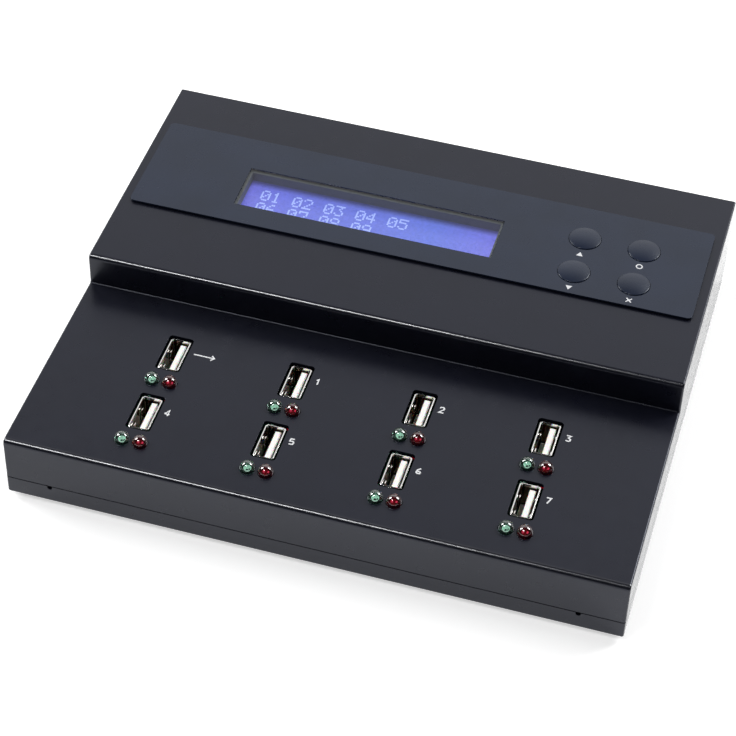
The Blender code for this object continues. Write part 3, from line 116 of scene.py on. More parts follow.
class Nodes:
    """A node tree under construction, with short calls for what materials and surroundings share."""

    def __init__(self, tree: bpy.types.NodeTree) -> None:
        """Takes over a tree and empties it."""
        self.tree = tree
        self.tree.nodes.clear()

    def feed(self, node: bpy.types.Node, inputs: dict[str | int, Any]) -> None:
        """Wires or sets a node's sockets.

        Args:
            node: the node.
            inputs: what each socket takes, another node's socket or a fixed value.
        """
        for key, value in inputs.items():
            if isinstance(value, Socket):
                self.tree.links.new(value, node.inputs[key])
            else:
                node.inputs[key].default_value = value

    def add(
        self, kind: str, inputs: dict[str | int, Any] | None = None, **settings: Any
    ) -> bpy.types.Node:
        """Adds one node.

        Args:
            kind: the node's type.
            inputs: what each socket takes, another node's socket or a fixed value.
            settings: attributes to set on it.

        Returns:
            The node.
        """
        node = self.tree.nodes.new(kind)
        for key, value in settings.items():
            setattr(node, key, value)
        self.feed(node, inputs or {})
        return node

    def math(self, operation: str, *values: Socket | float) -> Socket:
        """Calculates with sockets and numbers."""
        return self.add("ShaderNodeMath", dict(enumerate(values)), operation=operation).outputs[0]

    def mixed(self, share: Socket, first: Socket, second: Socket) -> Socket:
        """Mixes two shaders, with the share of the second."""
        return self.add("ShaderNodeMixShader", {0: share, 1: first, 2: second}).outputs[0]

    def rays(self) -> tuple[Socket, Socket]:
        """Whether a ray comes from the camera, and whether it comes from gloss or glass."""
        path = self.add("ShaderNodeLightPath").outputs
        bounced = self.math("MAXIMUM", path["Is Glossy Ray"], path["Is Transmission Ray"])
        return path["Is Camera Ray"], bounced

    def ramp(self, source: Socket, stops: Iterable[tuple[float, Colour]]) -> Socket:
        """Colours a value.

        Args:
            source: the value.
            stops: places between 0 and 1 and their colours.

        Returns:
            The colour.
        """
        node = self.add("ShaderNodeValToRGB", {"Fac": source})
        stops = list(stops)
        elements = node.color_ramp.elements
        while len(elements) < len(stops):
            elements.new(0.5)
        for element, (position, colour) in zip(elements, stops):
            element.position = position
            element.color = (*colour, 1.0)
        return node.outputs["Color"]


class Graph(Nodes):
    """A node material under construction."""

    def __init__(self, name: str) -> None:
        """Starts the material with a principled shader.

        Args:
            name: the material's name.
        """
        self.material = bpy.data.materials.new(name)
        self.material.use_nodes = True
        super().__init__(self.material.node_tree)
        self.shader = self.add("ShaderNodeBsdfPrincipled")
        self.output = self.add("ShaderNodeOutputMaterial", {"Surface": self.shader.outputs[0]})
        self.place = self.add("ShaderNodeTexCoord").outputs["Object"]

    def noise(self, size: float, detail: float = 2.0, stretch: Place = (1.0, 1.0, 1.0)) -> Socket:
        """Smooth random patches.

        Args:
            size: width of a patch, in metres.
            detail: how many finer layers lie over it.
            stretch: how much narrower the patches are along each axis.

        Returns:
            The value, about 0.5 on average.
        """
        scale = [s / size for s in stretch]
        mapping = self.add("ShaderNodeMapping", {"Vector": self.place, "Scale": scale})
        inputs = {"Vector": mapping.outputs["Vector"], "Scale": 1.0, "Detail": detail}
        return self.add("ShaderNodeTexNoise", inputs).outputs["Fac"]

    def rescale(self, source: Socket, start: float, end: float, low: float, high: float) -> Socket:
        """Maps one range onto another, held at its ends.

        Args:
            source: the value.
            start: source value that gives low.
            end: source value that gives high.
            low: value at the start.
            high: value at the end.

        Returns:
            The mapped value.
        """
        inputs = {"Value": source, "From Min": start, "From Max": end, "To Min": low, "To Max": high}
        return self.add("ShaderNodeMapRange", inputs).outputs["Result"]

    def spread(self, noise: Socket, low: float, high: float) -> Socket:
        """Maps a noise onto a range."""
        return self.rescale(noise, *NOISE_ENDS, low, high)

    def patchy(self, noise: Socket, first: Colour, second: Colour) -> Socket:
        """Colours a noise from one colour to another."""
        return self.ramp(noise, zip(NOISE_ENDS, (first, second)))

    def axis(self, name: str) -> Socket:
        """One coordinate of the place on the surface."""
        return self.add("ShaderNodeSeparateXYZ", {0: self.place}).outputs[name]

    def beyond(self, source: Socket, middle: float, reach: float) -> Socket:
        """How far a coordinate lies outside a band, negative inside it."""
        away = self.math("ABSOLUTE", self.math("SUBTRACT", source, middle))
        return self.math("SUBTRACT", away, reach)

    def outside(self, axes: str, middle: Point, half: Point) -> Socket:
        """How far the surface lies outside a rectangle.

        Args:
            axes: the two axes of its plane.
            middle: its middle.
            half: half its size.

        Returns:
            The distance, negative inside it.
        """
        bands = [self.beyond(self.axis(a), m, h) for a, m, h in zip(axes, middle, half)]
        return self.math("MAXIMUM", *bands)

    def blend(self, share: Socket, first: Socket, second: Socket) -> Socket:
        """Mixes two colours.

        Args:
            share: share of the second colour.
            first: the colour at share 0.
            second: the colour at share 1.

        Returns:
            The mixed colour.
        """
        node = self.add("ShaderNodeMix", {"Factor": share}, data_type="RGBA")
        colours = [k for k, socket in enumerate(node.inputs) if socket.type == "RGBA"]
        self.feed(node, dict(zip(colours, (first, second))))
        return next(socket for socket in node.outputs if socket.type == "RGBA")

    def bump(self, height: Socket, distance: float, under: Socket | None = None) -> Socket:
        """Relief.

        Args:
            height: the value that gives the height.
            distance: height of its full range, in metres.
            under: a relief that this one lies on.

        Returns:
            The normal.
        """
        inputs = {"Strength": 1.0, "Distance": distance, "Height": height}
        if under is not None:
            inputs["Normal"] = under
        return self.add("ShaderNodeBump", inputs).outputs["Normal"]


@dataclass(frozen=True)
class Finish:
    """A surface: its colour and gloss, how far each wanders, and its relief."""

    name: str
    colour: Colour
    roughness: float
    metallic: float = 0.0
    mottle: float = 0.12
    mottle_size: float = 14 * MM
    gloss_wander: float = 0.04
    grain_size: float = 0.5 * MM
    grain_height: float = 0.002 * MM
    wave_size: float = 20 * MM
    wave_height: float = 0.0
    stretch: Place = (1.0, 1.0, 1.0)
    gloss_tint: Colour = WHITE

    def material(self) -> bpy.types.Material:
        """The material of this finish, made once.

        Returns:
            The material.
        """
        title = f"finish_{self.name}"
        made = bpy.data.materials.get(title)
        if made:
            return made
        graph = Graph(title)
        patches = graph.noise(self.mottle_size, 3.0, self.stretch)
        dark, pale = shade(self.colour, 1 - self.mottle), shade(self.colour, 1 + self.mottle)
        gloss = graph.noise(self.mottle_size / 3, 4.0, self.stretch)
        low, high = self.roughness - self.gloss_wander, self.roughness + self.gloss_wander
        relief = graph.bump(graph.noise(self.grain_size, 2.0, self.stretch), self.grain_height)
        if self.wave_height:
            relief = graph.bump(graph.noise(self.wave_size, 1.0), self.wave_height, relief)
        inputs = {
            "Base Color": graph.patchy(patches, dark, pale),
            "Metallic": self.metallic,
            "Roughness": graph.spread(gloss, low, high),
            "Specular Tint": (*self.gloss_tint, 1.0),
            "Normal": relief,
        }
        graph.feed(graph.shader, inputs)
        self.dress(graph)
        return graph.material

    def dress(self, graph: Graph) -> None:
        """Adds what only this kind of finish has."""


@dataclass(frozen=True)
class Lens(Finish):
    """Tinted clear epoxy with a glossy skin."""

    clear: float = 0.97
    skin: float = 1.9

    def dress(self, graph: Graph) -> None:
        """Makes it see-through."""
        inputs = {"Transmission Weight": self.clear, "IOR": PLASTIC_IOR}
        graph.feed(graph.shader, inputs | {"Coat Weight": 1.0, "Coat IOR": self.skin})


@dataclass(frozen=True)
class Moulding(Finish):
    """Plastic that light enters a little."""

    share: float = 0.3
    depth: float = 0.4 * MM

    def dress(self, graph: Graph) -> None:
        """Lets light spread under the skin."""
        graph.feed(graph.shader, {"Subsurface Weight": self.share, "Subsurface Scale": self.depth})


@dataclass(frozen=True)
class Glow(Finish):
    """Surface that gives off or passes on a little light of its own: the lit digits of the display, and
    painted glow and painted glints inside the unlit lamps.
    """

    light: Colour = WHITE

    def dress(self, graph: Graph) -> None:
        """Adds the light, uneven like the surface."""
        shine = graph.patchy(graph.noise(self.mottle_size), shade(self.light, 1 - self.mottle), self.light)
        graph.feed(graph.shader, {"Emission Color": shine, "Emission Strength": 1.0})


@dataclass(frozen=True)
class Window(Finish):
    """Clear film: the ground behind it shows, and its own gloss lies over that."""

    def dress(self, graph: Graph) -> None:
        """Lets most of the light pass."""
        fresnel = graph.add("ShaderNodeFresnel", {"IOR": PLASTIC_IOR}).outputs["Fac"]
        inside = graph.add("ShaderNodeNewGeometry").outputs["Backfacing"]
        share = graph.math("MULTIPLY", fresnel, graph.math("SUBTRACT", 1.0, inside))
        clear = graph.add("ShaderNodeBsdfTransparent").outputs[0]
        gloss = graph.add("ShaderNodeBsdfGlossy", {"Roughness": self.roughness}).outputs[0]
        graph.feed(graph.output, {"Surface": graph.mixed(share, clear, gloss)})


@dataclass(frozen=True)
class Backlight(Finish):
    """Lit display glass: violet at its ends, dimmer along its left and rear borders."""

    strength: float = 0.76
    left: float = -1.0
    right: float = 1.0
    rear: float = 1.0
    rear_fade: float = 2.2 * MM
    left_fade: float = 1.6 * MM
    rear_dim: float = 0.25
    left_dim: float = 0.6
    patch_size: float = 1.1 * MM
    wander: float = 0.1
    stops: tuple[tuple[float, Colour], ...] = (
        (0.0, (0.175, 0.18, 0.82)),
        (0.1, (0.155, 0.18, 0.82)),
        (0.3, (0.15, 0.19, 0.8)),
        (0.75, (0.145, 0.215, 0.84)),
        (1.0, (0.2, 0.2, 0.86)),
    )

    def dress(self, graph: Graph) -> None:
        """Adds the glow."""
        x, y = graph.axis("X"), graph.axis("Y")
        along = graph.rescale(x, self.left, self.right, 0.0, 1.0)
        rear = graph.rescale(y, self.rear - self.rear_fade, self.rear, 1.0, self.rear_dim)
        left = graph.rescale(x, self.left, self.left + self.left_fade, self.left_dim, 1.0)
        low, high = self.strength * (1 - self.wander), self.strength * (1 + self.wander)
        patches = graph.spread(graph.noise(self.patch_size), low, high)
        strength = graph.math("MULTIPLY", graph.math("MULTIPLY", rear, left), patches)
        glow = graph.ramp(along, self.stops)
        graph.feed(graph.shader, {"Emission Color": glow, "Emission Strength": strength})


@dataclass(frozen=True)
class BoardMask(Finish):
    """Solder mask over copper tracks, and dark parts where they stand above the board."""

    top: float = 0.0
    track: Colour = (0.03, 0.2, 0.08)
    track_pitch: float = 1.6 * MM
    track_width: float = 0.12
    part: Colour = (0.02, 0.02, 0.022)
    part_pale: float = 1.4
    part_patch: float = 2 * MM
    part_foot: Point = (0.05 * MM, 0.1 * MM)

    def dress(self, graph: Graph) -> None:
        """Adds the tracks and the parts' own colour."""
        mask, track = (*self.colour, 1.0), (*self.track, 1.0)
        inputs = {"Vector": graph.place, "Color1": mask, "Color2": mask, "Mortar": track}
        inputs |= {"Scale": 1 / self.track_pitch, "Mortar Size": self.track_width}
        bricks = graph.add("ShaderNodeTexBrick", inputs).outputs["Color"]
        start, end = (self.top + height for height in self.part_foot)
        above = graph.rescale(graph.axis("Z"), start, end, 0.0, 1.0)
        part = graph.patchy(graph.noise(self.part_patch), self.part, shade(self.part, self.part_pale))
        graph.feed(graph.shader, {"Base Color": graph.blend(above, bricks, part)})


@dataclass(frozen=True)
class Plating(Finish):
    """Nickel plate on a socket's shell: bright round its mouth and on its springs, with painted shade in
    dark brown down its walls.
    """

    middle: Point = (0.0, 0.0)
    half: Point = (2.45 * MM, 5.9 * MM)
    seam: float = 0.05 * MM
    mouth: float = 0.0
    bright_depth: float = 0.7 * MM
    fade: float = 0.5 * MM
    bright_dim: float = 0.92
    # painted shade: the dark brown of the walls inside and round the shell
    dull: Colour = (0.17, 0.135, 0.1)
    dull_dim: float = 0.6

    def dress(self, graph: Graph) -> None:
        """Paints shade in dark brown on the walls under the mouth."""
        wall = graph.rescale(graph.outside("XY", self.middle, self.half), 0.0, self.seam, 0.0, 1.0)
        # painted shade: below the mouth the walls fade to dark brown, standing in for the shade inside the
        # shell
        top = self.mouth - self.bright_depth
        shade_below = graph.rescale(graph.axis("Z"), top - self.fade, top, 1.0, 0.0)
        patches = graph.noise(self.mottle_size, 2.0, self.stretch)
        bright = graph.patchy(patches, shade(self.colour, self.bright_dim), self.colour)
        dull = graph.patchy(patches, shade(self.dull, self.dull_dim), self.dull)
        plate = graph.blend(graph.math("MULTIPLY", wall, shade_below), bright, dull)
        graph.feed(graph.shader, {"Base Color": plate})


@dataclass(frozen=True)
class RubbedCoat(Finish):
    """Powder coat that handling has polished on the bends and the sides."""

    spots: tuple[tuple[Point, Point], ...] = ()
    half_width: float = 1.0
    polish: float = 2.0
    polish_roughness: float = 0.2
    seam: float = 0.1 * MM
    wear: Point = (0.75, 1.0)
    wear_size: float = 4 * MM

    def dress(self, graph: Graph) -> None:
        """Lays the polish over the bends and the sides."""
        past = graph.beyond(graph.axis("X"), 0.0, self.half_width)
        share = graph.rescale(past, -self.seam, 0.0, 0.0, 1.0)
        for middle, half in self.spots:
            bend = graph.rescale(graph.outside("YZ", middle, half), -self.seam, self.seam, 1.0, 0.0)
            share = graph.math("MAXIMUM", share, bend)
        worn = graph.spread(graph.noise(self.wear_size), *self.wear)
        inputs = {"Coat Weight": graph.math("MULTIPLY", share, worn), "Coat IOR": self.polish}
        graph.feed(graph.shader, inputs | {"Coat Roughness": self.polish_roughness})


PANEL_BLUE: Colour = (0.009, 0.014, 0.032)
PANEL_GLOSS: Colour = (0.9, 0.95, 1.0)
FILM_GRAIN = {"grain_size": 0.3 * MM, "grain_height": 0.001 * MM}
FILM_WAVES = {"wave_size": 26 * MM, "wave_height": 0.05 * MM}
CAP_GRAIN = {"grain_size": 0.25 * MM, "grain_height": 0.0008 * MM}
PLATED = {
    "metallic": 1.0,
    "mottle_size": 3 * MM,
    "grain_size": 0.2 * MM,
    "grain_height": 0.001 * MM,
    "stretch": (1, 1, 0.2),
}
PANEL_FILM = Finish("panel_film", PANEL_BLUE, 0.25, gloss_tint=PANEL_GLOSS, **FILM_GRAIN, **FILM_WAVES)
BUTTON_CAP = Finish("button_cap", PANEL_BLUE, 0.26, gloss_tint=PANEL_GLOSS, **CAP_GRAIN)
NICKEL = Finish("nickel", (0.86, 0.84, 0.8), 0.18, mottle=0.06, **PLATED)
# painted shade: the silver leads are dark grey for how they look inside the epoxy
PAINTED_DARK_LEAD = Finish("painted_dark_lead", (0.05, 0.05, 0.05), 0.4, metallic=0.6, mottle_size=1 * MM)
BEZEL_STEEL = Finish("bezel_steel", (0.02, 0.02, 0.021), 0.35, metallic=0.3, stretch=(0.2, 1, 1))
GOLD = Finish("contact_gold", (0.85, 0.6, 0.25), 0.22, metallic=1.0, mottle_size=2 * MM)
IVORY = Moulding("ivory_plastic", (0.93, 0.925, 0.89), 0.38, mottle=0.04, mottle_size=4 * MM)
DARK_PLASTIC = Finish("dark_plastic", (0.012, 0.012, 0.014), 0.42)
FRAME_PLASTIC = Finish("frame_plastic", (0.06, 0.073, 0.08), 0.5, mottle_size=5 * MM)
SWITCH_BLACK = Finish("switch_black", (0.01, 0.01, 0.011), 0.32, grain_height=0.003 * MM)
RUBBER = Finish("rubber", (0.012, 0.012, 0.012), 0.75, grain_size=0.3 * MM, grain_height=0.01 * MM)
CHIP_BLACK = Finish("chip_black", (0.015, 0.015, 0.016), 0.55)
RIBBON = Finish("ribbon_grey", (0.35, 0.36, 0.38), 0.5, stretch=(8, 1, 1))
GREEN_LENS = Lens("green_lens", (0.4, 0.85, 0.64), 0.03, mottle=0.05)
RED_LENS = Lens("red_lens", (0.42, 0.003, 0.016), 0.03, mottle=0.05, clear=0.94)
# painted light: the cups of the unlit lamps glow with emission of their own
GREEN_PAINTED_GLOW = Glow("green_cup", (0.3, 0.5, 0.4), 0.4, mottle_size=0.5 * MM, light=(0.4, 0.46, 0.42))
RED_PAINTED_GLOW = Glow("red_cup", (0.2, 0.02, 0.03), 0.4, mottle_size=0.5 * MM, light=(0.06, 0.004, 0.01))
# painted glints: the red lamp's two tips glow pink where reflections would be
RED_PAINTED_GLINTS = Glow("red_painted_glints", (0.8, 0.5, 0.5), 0.3, mottle_size=0.4 * MM, light=(0.8, 0.7, 0.7))
CHIP_SPOT = Finish("die_grey", (0.02, 0.03, 0.03), 0.4, mottle_size=0.3 * MM)
CLEAR = Window("clear_film", WHITE, 0.06)
DISPLAY_TEXT = Glow("display_text", (0.1, 0.13, 0.2), 0.4, mottle_size=1 * MM, light=(0.34, 0.44, 0.95))
PRINT_WHITE = Finish("print_white", (0.75, 0.76, 0.78), 0.5, mottle=0.05, mottle_size=1 * MM)
ZINC_BLACK = Finish("screw_black", (0.05, 0.05, 0.055), 0.35, metallic=0.8, mottle_size=1.5 * MM)


class Shape:
    """A mesh under construction, in the part's frame."""

    def __init__(self) -> None:
        """Starts empty."""
        self.mesh = bmesh.new()

    def lathe(self, centre: Vector, profile: Sequence[Point], steps: int) -> "Shape":
        """Adds a solid of revolution about a vertical axis.

        Args:
            centre: the axis, with the height that the profile counts from.
            profile: (radius, height) points from the bottom's middle to the top's middle.
            steps: facets around.

        Returns:
            This shape.
        """
        rings = []
        for radius, height in profile:
            points = [(0.0, 0.0)] if radius < ON_AXIS else circle(steps, radius)
            rings.append([self.mesh.verts.new(centre + Vector((*point, height))) for point in points])
        for lower, upper in zip(rings, rings[1:]):
            for k in range(steps):
                order = ((lower, k), (lower, k + 1), (upper, k + 1), (upper, k))
                corners = list(dict.fromkeys(ring[n % len(ring)] for ring, n in order))
                if len(corners) > 2:
                    self.mesh.faces.new(corners)
        return self

    def block(self, low: Sequence[float], high: Sequence[float]) -> "Shape":
        """Adds a box.

        Args:
            low: its corner with the lowest coordinates.
            high: its corner with the highest.

        Returns:
            This shape.
        """
        size, middle = Vector(high) - Vector(low), (Vector(high) + Vector(low)) / 2
        matrix = Matrix.Translation(middle) @ Matrix.Diagonal((*size, 1.0))
        bmesh.ops.create_cube(self.mesh, size=1.0, matrix=matrix)
        return self

    def plate(self, outline: Sequence[Point], bottom: float, thickness: float) -> "Shape":
        """Adds a flat plate.

        Args:
            outline: its corners, anticlockwise from above.
            bottom: height of its underside.
            thickness: its thickness.

        Returns:
            This shape.
        """
        low, high = (
            [self.mesh.verts.new((x, y, z)) for x, y in outline] for z in (bottom, bottom + thickness)
        )
        self.mesh.faces.new(list(reversed(low)))
        self.mesh.faces.new(high)
        for k in range(len(outline)):
            n = (k + 1) % len(outline)
            self.mesh.faces.new((low[k], low[n], high[n], high[k]))
        return self

    def stroke(
        self,
        path: Sequence[Point],
        width: float,
        bottom: float,
        thickness: float,
        closed: bool = False,
    ) -> "Shape":
        """Adds a printed line of even width with mitred corners.

        Args:
            path: points of its middle.
            width: its width.
            bottom: height of its underside.
            thickness: its thickness.
            closed: whether the end joins the start.

        Returns:
            This shape.
        """
        points = [Vector(p) for p in path]
        count = len(points)
        left, right = [], []
        for k, point in enumerate(points):
            along = []
            if k or closed:
                along.append((point - points[k - 1]).normalized())
            if k < count - 1 or closed:
                along.append((points[(k + 1) % count] - point).normalized())
            tangent = sum(along, Vector((0.0, 0.0))).normalized()
            mitre = width / 2 / max(abs(tangent.dot(along[0])), MITRE_LIMIT)
            out = Vector((-tangent.y, tangent.x)) * mitre
            left.append(point + out)
            right.append(point - out)
        top = bottom + thickness
        rails = [
            [self.mesh.verts.new((*point, height)) for point in side]
            for side, height in ((right, bottom), (left, bottom), (left, top), (right, top))
        ]
        for k in range(count if closed else count - 1):
            n = (k + 1) % count
            for first, second in zip(rails, rails[1:] + rails[:1]):
                self.mesh.faces.new((first[k], first[n], second[n], second[k]))
        if not closed:
            for end in (0, -1):
                self.mesh.faces.new([rail[end] for rail in rails])
        return self

    def turn(self, matrix: Matrix) -> "Shape":
        """Moves and turns the whole shape."""
        bmesh.ops.transform(self.mesh, matrix=matrix, verts=self.mesh.verts)
        return self

    def release(self, name: str) -> bpy.types.Object:
        """Puts the shape into the scene, its faces outward, and gives up the mesh.

        Args:
            name: the object's name.

        Returns:
            The object.
        """
        bmesh.ops.recalc_face_normals(self.mesh, faces=self.mesh.faces)
        data = bpy.data.meshes.new(name)
        self.mesh.to_mesh(data)
        self.mesh.free()
        return put(name, data)

    def cut(self, other: "Shape") -> "Shape":
        """Cuts another shape out of this one.

        Args:
            other: the shape to cut away, used up by it.

        Returns:
            This shape.
        """
        blanks = [shape.release("blank") for shape in (self, other)]
        step = blanks[0].modifiers.new("cut", "BOOLEAN")
        step.operation, step.solver, step.object = "DIFFERENCE", "EXACT", blanks[1]
        result = blanks[0].evaluated_get(bpy.context.evaluated_depsgraph_get())
        self.mesh = bmesh.new()
        self.mesh.from_mesh(result.to_mesh())
        for blank in blanks:
            bpy.data.objects.remove(blank)
        return self

    def finish(self, name: str, finish: Finish, body: Body = Body.CASE) -> bpy.types.Object:
        """Turns the shape into a piece.

        Args:
            name: the piece's name.
            finish: its finish.
            body: what it moves with.

        Returns:
            The piece.
        """
        piece = self.release(name)
        piece.data.materials.append(finish.material())
        smooth(piece)
        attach(piece, body.value)
        return piece


def smooth(piece: bpy.types.Object, edge: float = 0.0, angle: float = SHARP_ANGLE) -> None:
    """Rounds a piece's edges and smooths its shading.

    Args:
        piece: the piece.
        edge: width of the rounded edges, 0 for none.
        angle: edges sharper than this many degrees are rounded or stay sharp.
    """
    piece.data.shade_smooth()
    if edge:
        bevel = piece.modifiers.new("edges", "BEVEL")
        bevel.width, bevel.segments = edge, BEVEL_SEGMENTS
        bevel.limit_method, bevel.angle_limit = "ANGLE", math.radians(angle)
    split = piece.modifiers.new("sharp", "EDGE_SPLIT")
    split.split_angle = math.radians(angle)
    weighted = piece.modifiers.new("normals", "WEIGHTED_NORMAL")
    weighted.keep_sharp = True


def carry(
    node: str, finish: Finish, edge: float = 0.0, angle: float = SHARP_ANGLE
) -> bpy.types.Object:
    """Dresses a part of the solid model as it is.

    Args:
        node: its name.
        finish: its finish.
        edge: width of its rounded edges, 0 for none.
        angle: edges sharper than this many degrees are rounded or stay sharp.

    Returns:
        The piece.
    """
    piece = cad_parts[node]
    piece.data.materials.clear()
    piece.data.materials.append(finish.material())
    weld = piece.modifiers.new("weld", "WELD")
    weld.merge_threshold = WELD_REACH
    planar = piece.modifiers.new("planar", "DECIMATE")
    planar.decimate_type, planar.angle_limit = "DISSOLVE", FLAT_ANGLE
    smooth(piece, edge, angle)
    return piece


@dataclass(frozen=True)
class Housing:
    """Folded cover, tray, feet and the screws underneath."""

    edge: float = 0.12 * MM
    sharp: float = 55.0
    bend: float = 1.5 * MM
    rub: float = 0.55 * MM
    riser: float = -9.4 * MM
    lower_deck: float = 23.4 * MM
    screw_inset: Point = (7.0 * MM, 8.0 * MM)
    head_radius: float = 2.8 * MM
    head_height: float = 0.8 * MM
    shank_radius: float = 1.45 * MM
    shank_length: float = 7.0 * MM
    screw_lip: float = 0.12 * MM
    screw_steps: int = 40
    recess: Place = (3.0 * MM, 0.65 * MM, 0.6 * MM)

    def build(self) -> None:
        """Dresses the sheet-metal parts and feet, and drives the screws."""
        for node in ("top_cover", "base_tray"):
            carry(node, self.coat(), self.edge, self.sharp)
        for end in ("front", "rear"):
            for side in ("left", "right"):
                carry(f"foot_{end}_{side}", RUBBER)
        low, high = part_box("base_tray")
        for x in (low.x + self.screw_inset[0], high.x - self.screw_inset[0]):
            for y in (low.y + self.screw_inset[1], high.y - self.screw_inset[1]):
                self.screw(Vector((x, y, low.z)))
        LOG.info("housing: cover, tray, four feet and four screws")

    def coat(self) -> RubbedCoat:
        """The coat of cover and tray, polished on the two front bends and the sides.

        Returns:
            The finish.
        """
        low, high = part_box("top_cover")
        spots = []
        for y, z in ((low.y, self.lower_deck), (self.riser, high.z)):
            middle = (y + self.bend / 2, z - self.rub / 2)
            spots.append((middle, (self.bend / 2, self.rub / 2)))
        return RubbedCoat(
            "powder_coat",
            (0.0045, 0.005, 0.0105),
            0.3,
            grain_size=0.5 * MM,
            grain_height=0.0015 * MM,
            wave_size=30 * MM,
            wave_height=0.02 * MM,
            gloss_tint=(0.82, 0.86, 1.0),
            spots=tuple(spots),
            half_width=high.x,
        )

    def screw(self, place: Vector) -> None:
        """Drives one countersunk screw with a cross recess, head down.

        Args:
            place: middle of its countersink's mouth.
        """
        head, shank, lip = self.head_radius, self.shank_radius, self.screw_lip
        profile = (
            (0.0, lip / 2),
            (head - lip, lip / 2),
            (head, 1.5 * lip),
            (shank, self.head_height),
            (shank, self.shank_length),
            (0.0, self.shank_length),
        )
        body = Shape().lathe(place, profile, self.screw_steps)
        length, width, depth = self.recess
        for x, y in ((length / 2, width / 2), (width / 2, length / 2)):
            body = body.cut(Shape().block(place + Vector((-x, -y, -lip)), place + Vector((x, y, depth))))
        end = "front" if place.y < 0 else "rear"
        side = "left" if place.x < 0 else "right"
        body.finish(f"screw_{end}_{side}", ZINC_BLACK)


@dataclass(frozen=True)
class Sockets:
    """The eight USB sockets."""

    edge: float = 0.05 * MM
    plate: Colour = (0.97, 0.96, 0.94)
    blade_left: float = 0.06 * MM
    groove: float = 0.3 * MM
    contact_width: float = 0.95 * MM
    contact_sheet: float = 0.2 * MM
    contact_bow: float = 0.16 * MM
    contact_bends: Point = (0.5, 0.78)
    contact_overlap: float = 0.9
    contact_reach: Point = (5.0 * MM, 1.15 * MM)
    inner_length: float = 12.2 * MM
    contact_shares: tuple[float, ...] = (-0.315, -0.09, 0.09, 0.315)

    def build(self) -> None:
        """Dresses shells and tongues and lays the contacts."""
        for index in range(SOCKET_COUNT):
            carry(f"usb_shell_{index}", self.plating(index), self.edge)
            carry(f"usb_tongue_{index}", IVORY, self.edge)
            self.contacts(index)
        LOG.info("sockets: %d shells and tongues with four contacts each", SOCKET_COUNT)

    def plating(self, index: int) -> Plating:
        """The plate on one shell.

        Args:
            index: the socket's number.

        Returns:
            The finish.
        """
        x, y, _ = middle_of(f"usb_shell_{index}")
        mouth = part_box(f"usb_shell_{index}")[1].z
        return Plating(f"shell_nickel_{index}", self.plate, 0.16, middle=(x, y), mouth=mouth, **PLATED)

    def contacts(self, index: int) -> None:
        """Lays the four bowed contacts in a tongue's grooves.

        Args:
            index: the socket's number.
        """
        middle = middle_of(f"usb_shell_{index}")
        foot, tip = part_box(f"usb_tongue_{index}")
        near = middle.x + self.blade_left + self.groove - self.contact_sheet
        bottom, top = foot.z + self.contact_reach[0], tip.z - self.contact_reach[1]
        start, bend = (bottom + share * (top - bottom) for share in self.contact_bends)
        outer = [(near, bottom), (near, start), (near - self.contact_bow, bend), (near, top)]
        inner = [(x + self.contact_overlap * self.contact_sheet, z) for x, z in reversed(outer)]
        strips = Shape()
        upright = Matrix(((1, 0, 0, 0), (0, 0, 1, 0), (0, 1, 0, 0), (0, 0, 0, 1)))
        for share in self.contact_shares:
            y = middle.y + share * self.inner_length
            strips.plate(outer + inner, y - self.contact_width / 2, self.contact_width)
        strips.turn(upright).finish(f"contacts_{index}", GOLD)


